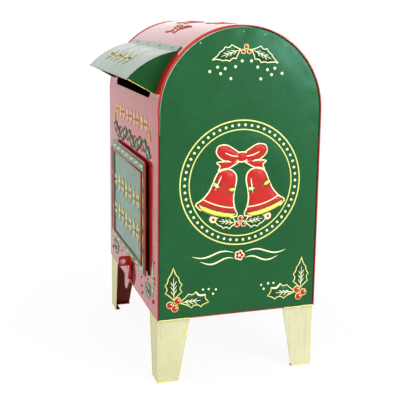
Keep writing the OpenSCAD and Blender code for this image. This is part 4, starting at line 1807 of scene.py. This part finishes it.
@dataclass
class CaseTrim:
    """Turned edges and painted lines of the case, its hood and its legs, in millimetres."""

    wrap: float = 0.62
    lip: float = 0.36
    line: float = 0.26
    lip_level: float = 180.2
    cheek_end: Point2 = (-40.9, 171.0)
    fold_end: float = 76.0
    leg_side_width: float = 19.2
    leg_top_width: float = 19.7
    leg_foot_width: float = 12.6
    drip_face: float = 68.05
    drip_widths: tuple[float, ...] = (0.34, 0.4, 0.42, 0.45, 0.5, 0.55, 0.5, 0.25)

    def __post_init__(self) -> None:
        """Reads the case's place from the frame."""
        low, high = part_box("body_shell")
        self.half = high.x / MM
        self.front, self.back = low.y / MM, high.y / MM
        self.top = high.z / MM
        self.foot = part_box("right_side_panel")[0].z / MM
        self.middle, self.radius = (self.front + self.back) / 2, (self.back - self.front) / 2

    def bead(
        self, name: str, lines: Sequence[Line], finish: Coat | Paint, slot: str, facets: int = 8
    ) -> None:
        """Rolls one piece of beads for the case.

        Args:
            name: Name of the piece.
            lines: Its lines.
            finish: Its finish.
            slot: Name of a material slot, handed on to hand_over.
            facets: Sides of the bead's section.
        """
        hand_over(grown(name, bead_tree(), lines, finish.value.make(), Facets=facets), "case", slot)

    def section(self, inset: float, x: float) -> list[Vector]:
        """Lists the case's outline from its front foot over the roof to its back foot.

        Args:
            inset: How far inside the case's own surface it runs.
            x: Where it is across the case.

        Returns:
            The points of the line.
        """
        r, axis = self.radius - inset, self.top - self.radius
        rise = axis - self.foot
        arch = [math.pi * i / 60 for i in range(61)]
        points = [Vector((x, self.middle - r, self.foot + rise * i / 30)) for i in range(30)]
        points += [Vector((x, self.middle - r * math.cos(a), axis + r * math.sin(a))) for a in arch]
        points += [Vector((x, self.middle + r, axis - rise * i / 30)) for i in range(1, 31)]
        return points

    def fullness(self, spot: Vector) -> float:
        """Gives how full the turned edge is: full over the front of the roof and thin down the corners.

        Args:
            spot: A place on the edge.

        Returns:
            Share of the full width there.
        """
        over = min(max((spot.z - 135.0) / 40.0, 0.0), 1.0)
        behind = min(max((spot.y - self.middle + 12.0) / 30.0, 0.0), 1.0)
        return 0.22 * (1.0 - 0.35 * behind) + 0.78 * over * (1.0 - behind)

    def build(self) -> None:
        """Builds the turned edges, pale lines of painted highlight along the front of each panel's arched
        edge, the hems, the hood's lines and the legs' painted lines.
        """
        for sign, side in ((1, "right"), (-1, "left")):
            path = self.section(0.34, sign * (self.half - self.wrap))
            widths = [self.wrap * self.fullness(spot) for spot in path]
            self.bead(f"{side}_turned_edge", [(path, widths, False)], Coat.RED, "red_enamel", 12)
            # a pale line of painted highlight where the panel's rounded edge catches the light, over the
            # front of the arch
            inner = self.section(1.15, sign * (self.half - 0.32))
            low, back = self.top - self.radius - 14, self.middle + 6
            path = [spot for spot in inner if spot.z > low and spot.y < back]
            widths = [0.25 * math.sin(math.pi * (i + 0.5) / len(path)) ** 0.5 for i in range(len(path))]
            self.bead(f"{side}_rubbed_edge", [(path, widths, False)], Paint.RUBBED, "green_enamel")
        self.build_hems()
        self.build_hood_lines()
        self.build_leg_lines()

    def build_hems(self) -> None:
        """Builds the red hems along the foot of the four walls."""
        hems: list[Line] = []
        for sign in (1, -1):
            x, start, length = sign * (self.half - 0.5), self.front + 19.0, self.radius * 2 - 38.0
            spots = [Vector((x, start + length * i / 20, self.foot + 0.05)) for i in range(21)]
            hems.append((spots, [0.24] * 21, False))
        for y in (self.front + 0.35, self.back - 0.35):
            spots = [Vector((self.half * (i / 20 - 1) * 0.995, y, self.foot + 0.35)) for i in range(41)]
            hems.append((spots, [0.5] * 41, False))
        self.bead("foot_hems", hems, Coat.RED, "red_enamel")

    def build_hood_lines(self) -> None:
        """Builds the line on the hood's lip, the yellow line under each cheek and the cheeks' folds."""
        low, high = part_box("hood_top")
        half, lip_y, lip_z = high.x / MM, low.y / MM + 0.6, self.lip_level
        spots = [Vector((half * (i / 20 - 1), lip_y, lip_z)) for i in range(41)]
        self.bead("hood_lip_line", [(spots, [self.lip] * 41, False)], Paint.CREAM, "cream_enamel", 10)
        arc = RolledFace(HOOD_CENTRE, HOOD_RADIUS - 0.25)
        first = math.degrees(math.atan2(lip_z - HOOD_CENTRE[1], HOOD_CENTRE[0] - lip_y)) + 2.0
        edges: list[Line] = []
        folds: list[Line] = []
        for sign in (-1, 1):
            x = sign * (half - 0.3)
            start, end = Vector((x, lip_y + 0.5, lip_z - 0.3)), Vector((x, *self.cheek_end))
            widths = [0.2 + 0.12 * noise.noise(Vector((i * 0.35, sign * 3.0, 0.0))) for i in range(25)]
            edges.append(([start.lerp(end, i / 24) for i in range(25)], widths, False))
            spots = [
                arc.at(sign * (half - 0.12), first + (self.fold_end - first) * i / 48) for i in range(49)
            ]
            widths = [0.30 + 0.22 * noise.noise(Vector((i * 0.6, sign * 5.0, 1.0))) for i in range(49)]
            folds.append((spots, widths, False))
        self.bead("cheek_edge_lines", edges, Paint.YELLOW, "cream_enamel")
        self.bead("cheek_fold_lines", folds, Coat.CHEEK, "green_enamel")

    def build_leg_lines(self) -> None:
        """Builds the yellow lines on the edges of each leg and the run of paint on the near leg."""
        lines: list[Line] = []
        for name in LEGS:
            low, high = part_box(name)
            right, front = low.x > 0, "front" in name
            x, y = (high.x if right else low.x) / MM, (low.y if front else high.y) / MM
            sx, sy = (-1 if right else 1), (1 if front else -1)
            top = self.foot + 0.2
            corner = [Vector((x, y, top * i / 12)) for i in range(13)]
            lines.append((corner, [self.line * (0.55 if right else 1.2)] * 13, False))
            side_top: list[Vector] = []
            free: list[Vector] = []
            for i in range(13):
                level = top - 0.1 + 0.3 * noise.noise(Vector((i * 0.7, x, y)))
                side_top.append(Vector((x - sx, y + sy * self.leg_side_width * i / 12, level)))
                width = self.leg_foot_width + (self.leg_top_width - self.leg_foot_width) * i / 12
                free.append(Vector((x + sx * (width - 0.25), y, top * i / 12)))
            lines.append((side_top, [0.34] * 13, False))
            lines.append((free, [self.line * 1.3] * 13, False))
            for along in (Vector((0.0, sy, 0.0)), Vector((sx, 0.0, 0.0))):
                foot = [Vector((x, y, 0.3)) + along * (self.leg_foot_width * i / 6) for i in range(7)]
                lines.append((foot, [self.line] * 7, False))
        drip_y, drip_z = self.front + 19.6, self.foot - 2.0
        count = len(self.drip_widths)
        drip = [Vector((self.drip_face, drip_y - 0.30 * i, drip_z - 1.3 * i)) for i in range(count)]
        lines.append((drip, list(self.drip_widths), False))
        self.bead("leg_edge_lines", lines, Paint.STRAW, "cream_enamel")


@dataclass
class CaseArt:
    """Ornament on the front wall, the hood and the roof, in millimetres on each sheet."""

    garland_level: float = 97.4
    garland_pitch: float = 21.0
    hood_middle: Point2 = (-8.0, 59.0)
    roof_sprigs: tuple[Point2, ...] = (
        (68.0, 0.0), (86.0, -24.0), (92.0, 24.0), (110.0, -6.0), (128.0, 20.0)
    )

    def build(self) -> None:
        """Builds the three groups of ornament."""
        self.build_front()
        self.build_hood()
        self.build_roof()

    def build_front(self) -> None:
        """Draws the row over the door, the garland under it, the sprigs at the foot, and the painted dark
        reflection and painted shade by the lock tab and the door.
        """
        low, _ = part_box("body_shell")
        corner = Vector((0.0, low.y / MM, WALL_FOOT))
        face = FlatFace(corner, Vector((1.0, 0.0, 0.0)), Vector((0.0, -1.0, 0.0)))
        art = Relief("front_art", "case", "red_enamel")
        draw_row(art, face, (-41.3, 112.0), 10.3, 9, (9.4, 10.0), Paint.RED, Paint.BRASS)
        for side in (-1, 1):
            curl = ((46.5, 110.0), (49.6, 107.6), (51.2, 104.4), (48.9, 102.8), (47.8, 104.6))
            curl = through([(u * side, v) for u, v in curl], 4)
            art.line(face, curl, Paint.BRASS, half=0.7, taper=0.5)
        self.draw_garland(art, face)
        self.draw_foot_sprigs(art, face)
        self.draw_dark_parts(art, face)
        art.build()

    def draw_garland(self, art: Relief, face: FlatFace) -> None:
        """Draws the green leaves and red berries that run over the door.

        Args:
            art: The relief that gets it.
            face: The sheet it lies on.
        """
        level = self.garland_level
        for k in range(5):
            u = self.garland_pitch * (k - 2)
            tilt = 1 if k % 2 else -1
            for side in (-1, 1):
                base, tip = (u + 0.6 * side, level), (u + 9.4 * side, level + 3.8 * tilt * side)
                draw_leaf(
                    art, face, base, tip, 7.2, Paint.LEAF, Paint.PINE, Paint.RUBBED, half=0.46, rise=0.3
                )
            for du, dv in ((-1.3, 1.4), (1.4, 0.9), (0.0, -1.6)):
                art.stud(face, (u + du, level + dv), Paint.RED, half=1.35)
                art.stud(face, (u + du, level + dv + 0.3), Paint.GOLD, half=0.5, lift=0.4)
            art.stud(face, (u + 10.4, level - 2.4), Paint.RED, half=1.0)
            art.stud(face, (u - 10.2, level + 2.8), Paint.RED, half=1.0)

    def draw_foot_sprigs(self, art: Relief, face: FlatFace) -> None:
        """Draws the pale leaves and the red dots at the two ends of the wall's foot.

        Args:
            art: The relief that gets it.
            face: The sheet it lies on.
        """
        dots = (
            (61.0, 33.0, 0.9), (61.4, 23.4, 1.1), (61.6, 20.6, 0.9), (59.0, 8.4, 1.4), (52.6, 15.6, 1.2),
            (45.6, 18.0, 0.8), (29.0, 14.0, 0.9), (29.8, 8.6, 1.0), (31.6, 4.6, 1.1),
        )
        for side in (-1, 1):
            base, tip = (57.0 * side, 10.6), (58.2 * side, 33.0)
            draw_leaf(art, face, base, tip, 5.4, Paint.CREAM, Paint.RUBBED, Paint.LEAF, half=0.3, rise=0.2)
            base, tip = (51.6 * side, 9.6), (39.4 * side, 14.0)
            draw_leaf(art, face, base, tip, 8.6, Paint.CREAM, Paint.LEAF, Paint.PINE, half=0.55, rise=0.2)
            for u, v, half in dots:
                art.stud(face, (u * side, v), Paint.RED, half=half)

    def draw_dark_parts(self, art: Relief, face: FlatFace) -> None:
        """Paints a patch of painted dark reflection and a black painted shade for the gap by the lock tab,
        and a black painted shade right of the door.

        Args:
            art: The relief that gets it.
            face: The sheet it lies on.
        """
        # painted dark reflection: darker red where the wall beside the lock tab reflects the dark gap
        patch = [(3.2, 1.4), (8.4, 1.6), (12.6, 7.4), (12.4, 12.4), (8.8, 16.2), (5.0, 15.8), (4.6, 9.0)]
        art.shape(face, through(patch, 3, True), Paint.DULL, rise=0.03, shoulder=1.0, pitch=2.4, lift=0.09)
        # black painted shade standing in for the dark gap beside the lock tab
        gap_shade = [(0.9, 0.8), (3.5, 0.8), (5.0, 9.0), (5.4, 15.6), (2.7, 15.6), (2.0, 9.0)]
        art.shape(face, gap_shade, Paint.BLACK, rise=0.02, shoulder=1.0, pitch=2.4, lift=0.10)
        # black painted shade on the wall along the door's right edge, where the gap behind the door is dark
        low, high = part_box("door_panel")
        edge, foot, head = high.x / MM, low.z / MM - WALL_FOOT, high.z / MM - WALL_FOOT
        shade = [
            (edge - 2.5, foot + 0.6),
            (edge + 2.6, foot + 1.6),
            (edge + 0.9, head - 1.4),
            (edge - 2.5, head - 0.6),
        ]
        art.shape(face, shade, Paint.BLACK, rise=0.02, shoulder=1.0, pitch=4.0, lift=0.10)

    def build_hood(self) -> None:
        """Draws a row of gold flowers and baubles on the hood."""
        patch = RolledPatch(RolledFace(HOOD_CENTRE, HOOD_RADIUS), self.hood_middle)
        art = Relief("hood_art", "case", "green_enamel")
        draw_row(art, patch, (-26.0, 0.0), 13.0, 5, (10.8, 11.0), Paint.PINE)
        art.build()

    def build_roof(self) -> None:
        """Draws a red line at each edge of the roof and the holly sprigs between them."""
        roof = RolledFace(ROOF_CENTRE, ROOF_RADIUS)
        art = Relief("roof_art", "case", "red_enamel")
        for side in (-1, 1):
            line = [(67.0 * side, 34.0 + 56.0 * i / 40) for i in range(41)]
            art.line(roof, line, Paint.RED, half=0.65, taper=0.6, lift=-0.25)
        for angle, shift in self.roof_sprigs:
            patch = RolledPatch(roof, (shift, angle))
            for side in (-1, 1):
                base, tip = (2.6 * side, 0.8), (15.6 * side, 4.4)
                draw_leaf(
                    art, patch, base, tip, 5.6, Paint.CREAM, Paint.RED, Paint.PINE, half=0.42, rise=0.3
                )
                base, tip = (1.8 * side, -2.0), (11.0 * side, -6.6)
                draw_leaf(
                    art, patch, base, tip, 4.4, Paint.PINE, Paint.RED, Paint.CREAM, half=0.34, rise=0.3
                )
            for at in ((-1.7, 1.0), (1.7, 1.0), (0.0, -1.6)):
                draw_berry(art, patch, at, 1.5)
        art.build()


# --- plain nodes, stage, light and camera --------------------------------------------------------


@dataclass(frozen=True)
class NodeFinishes:
    """Finishes of the CAD nodes that keep their own shape."""

    shell: tuple[str, ...] = ("body_shell",)
    red: tuple[str, ...] = ("floor_pan", "lock_tab")
    legs: tuple[str, ...] = LEGS
    hood: tuple[str, ...] = ("hood_top",)
    cheeks: tuple[str, ...] = ("hood_right_cheek", "hood_left_cheek")
    rivets: tuple[str, ...] = ("hood_rivets",)
    catch: tuple[str, ...] = ("door_catch",)
    hinge: tuple[str, ...] = ("wall_hinge_leaf", "door_hinge_leaf", "wall_hinge_rivets")
    tin: tuple[str, ...] = ("lock_eyelet", "hinge_pin", "door_hinge_rivets")

    def dress(self, nodes: dict[str, bpy.types.Object]) -> None:
        """Gives each node its material.

        Args:
            nodes: The frame's objects by name.
        """
        groups = {
            Coat.SHELL: self.shell,
            Coat.RED: self.red,
            Coat.LEG: self.legs,
            Coat.HOOD: self.hood,
            Coat.CHEEK: self.cheeks,
            Coat.RIVET: self.rivets,
            Coat.INSIDE: self.catch,
            Coat.HINGE: self.hinge,
            Coat.TIN: self.tin,
        }
        for coat, names in groups.items():
            for name in names:
                obj = nodes[name]
                if not obj.material_slots:
                    obj.data.materials.append(None)
                for slot in obj.material_slots:
                    slot.material = coat.value.make()
                LOG.info("%s: %s", name, coat.value.name)


@dataclass(frozen=True)
class Studio:
    """A pale floor, a white surround, soft lamps and the camera, in millimetres and degrees."""

    camera_at: tuple[float, float, float] = (494.7, -152.4, 218.0)
    azimuth: float = 72.38
    elevation: float = 10.2
    roll: float = 0.72
    lens: float = 71.62
    shift_y: float = -0.115
    ambient: float = 0.60
    floor_half: float = 4000.0

    def build(self) -> None:
        """Builds the stage, the lamps and the camera."""
        self.build_world()
        self.build_floor()
        self.lamp("key_lamp", (900.0, 350.0, 950.0), (20.0, 10.0, 90.0), (700.0, 700.0), 10.0)
        self.lamp("front_lamp", (250.0, -1100.0, 650.0), (0.0, 0.0, 90.0), (800.0, 800.0), 6.0)
        self.lamp("side_lamp", (820.0, 562.0, 284.0), (69.0, 30.0, 170.0), (370.0, 280.0), 3.4)
        self.lamp("back_lamp", (-1500.0, 60.0, 560.0), (0.0, 0.0, 200.0), (1500.0, 800.0), 1.7)
        self.build_camera()

    def plain_view(self, tree: bpy.types.NodeTree) -> bpy.types.NodeSocket:
        """Builds the nodes that give one to the camera and in reflections, and nought to other rays.

        Args:
            tree: The tree that gets them.

        Returns:
            Socket with the answer.
        """
        path = node(tree, "ShaderNodeLightPath").outputs
        seen = node(
            tree, "ShaderNodeMath", {0: path["Is Camera Ray"], 1: path["Is Glossy Ray"]}, operation="ADD"
        )
        clear = {0: seen.outputs[0], 1: path["Is Transmission Ray"]}
        return node(tree, "ShaderNodeMath", clear, operation="ADD", use_clamp=True).outputs[0]

    def build_world(self) -> None:
        """Builds a surround that is white to the eye and in reflections, and softer as a light."""
        world = bpy.data.worlds.new("pale_studio")
        world.use_nodes = True
        tree = world.node_tree
        tree.nodes.clear()
        strength = node(
            tree,
            "ShaderNodeMapRange",
            {"Value": self.plain_view(tree), "To Min": self.ambient, "To Max": 1.0},
        )
        back = node(
            tree, "ShaderNodeBackground", {"Color": (1.0, 1.0, 1.0, 1.0), "Strength": strength.outputs[0]}
        )
        node(tree, "ShaderNodeOutputWorld", {"Surface": back.outputs[0]})
        bpy.context.scene.world = world

    def build_floor(self) -> None:
        """Builds a floor that keeps the contact shadow and fades to white further out."""
        bm = bmesh.new()
        for u, v in ((-1, -1), (1, -1), (1, 1), (-1, 1)):
            bm.verts.new((u * self.floor_half, v * self.floor_half, -0.02))
        bm.faces.new(list(bm.verts))
        paper, tree = blank_material("pale_paper_floor")
        place = node(tree, "ShaderNodeTexCoord").outputs["Object"]
        flat = node(tree, "ShaderNodeMapping", {"Vector": place, "Scale": (1.0, 1.0, 0.0)})
        reach = node(tree, "ShaderNodeVectorMath", {0: flat.outputs[0]}, operation="LENGTH")
        far = node(
            tree,
            "ShaderNodeMapRange",
            {
                "Value": reach.outputs["Value"],
                "From Min": 0.06,
                "From Max": 0.20,
                "To Min": 0.92,
                "To Max": 1.0,
            },
            interpolation_type="SMOOTHSTEP",
        )
        white = node(
            tree, "ShaderNodeMath", {0: self.plain_view(tree), 1: far.outputs[0]}, operation="MULTIPLY"
        )
        grain = node(tree, "ShaderNodeTexNoise", {"Vector": place, "Scale": 400.0})
        tone = node(
            tree, "ShaderNodeMapRange", {"Value": grain.outputs["Fac"], "To Min": 0.90, "To Max": 0.94}
        )
        tint = node(
            tree, "ShaderNodeCombineColor", {0: tone.outputs[0], 1: tone.outputs[0], 2: tone.outputs[0]}
        )
        matt = node(
            tree,
            "ShaderNodeBsdfPrincipled",
            {"Base Color": tint.outputs[0], "Roughness": 0.9, "Specular IOR Level": 0.2},
        )
        glow = node(tree, "ShaderNodeEmission", {"Color": (1.0, 1.0, 1.0, 1.0), "Strength": 1.0})
        both = node(
            tree, "ShaderNodeMixShader", {0: white.outputs[0], 1: matt.outputs[0], 2: glow.outputs[0]}
        )
        node(tree, "ShaderNodeOutputMaterial", {"Surface": both.outputs[0]})
        settle("studio_floor", bm, paper)

    def lamp(
        self,
        name: str,
        at: tuple[float, float, float],
        aim: tuple[float, float, float],
        size: tuple[float, float],
        power: float,
    ) -> None:
        """Adds a soft lamp that the camera doesn't see.

        Args:
            name: Its name.
            at: Where it is, in millimetres.
            aim: What it points at.
            size: Its width and height.
            power: Its power in watts.
        """
        data = bpy.data.lights.new(name, "AREA")
        data.shape = "RECTANGLE"
        data.size, data.size_y = size[0] * MM, size[1] * MM
        data.energy = power
        lamp = bpy.data.objects.new(name, data)
        lamp.visible_camera = False
        lamp.location = Vector(at) * MM
        lamp.rotation_euler = (Vector(aim) - Vector(at)).to_track_quat("-Z", "Y").to_euler()
        bpy.context.scene.collection.objects.link(lamp)

    def build_camera(self) -> None:
        """Builds the camera and makes it the scene's own."""
        az, el, roll = (math.radians(a) for a in (self.azimuth, self.elevation, self.roll))
        back = Vector((math.sin(az) * math.cos(el), -math.cos(az) * math.cos(el), math.sin(el)))
        right = (-back).cross(UP).normalized()
        up = right.cross(-back)
        turned_right = right * math.cos(roll) + up * math.sin(roll)
        turned_up = -right * math.sin(roll) + up * math.cos(roll)
        data = bpy.data.cameras.new("studio_camera")
        data.lens = self.lens
        data.sensor_width = 36.0
        data.shift_y = self.shift_y
        data.clip_start = 0.01
        camera = bpy.data.objects.new("studio_camera", data)
        pose = Matrix((turned_right, turned_up, back)).transposed().to_4x4()
        pose.translation = Vector(self.camera_at) * MM
        camera.matrix_world = pose
        bpy.context.scene.collection.objects.link(camera)
        bpy.context.scene.camera = camera


def main() -> None:
    """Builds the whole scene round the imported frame."""
    logging.basicConfig(level=logging.INFO, format="%(name)s %(message)s")
    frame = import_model()
    bpy.context.scene.view_settings.view_transform = "Standard"
    NodeFinishes().dress(frame["nodes"])
    for sign in (1, -1):
        SidePanel(sign).build()
    DoorSkin().build()
    CaseTrim().build()
    CaseArt().build()
    Studio().build()


if __name__ == "__main__":
    main()
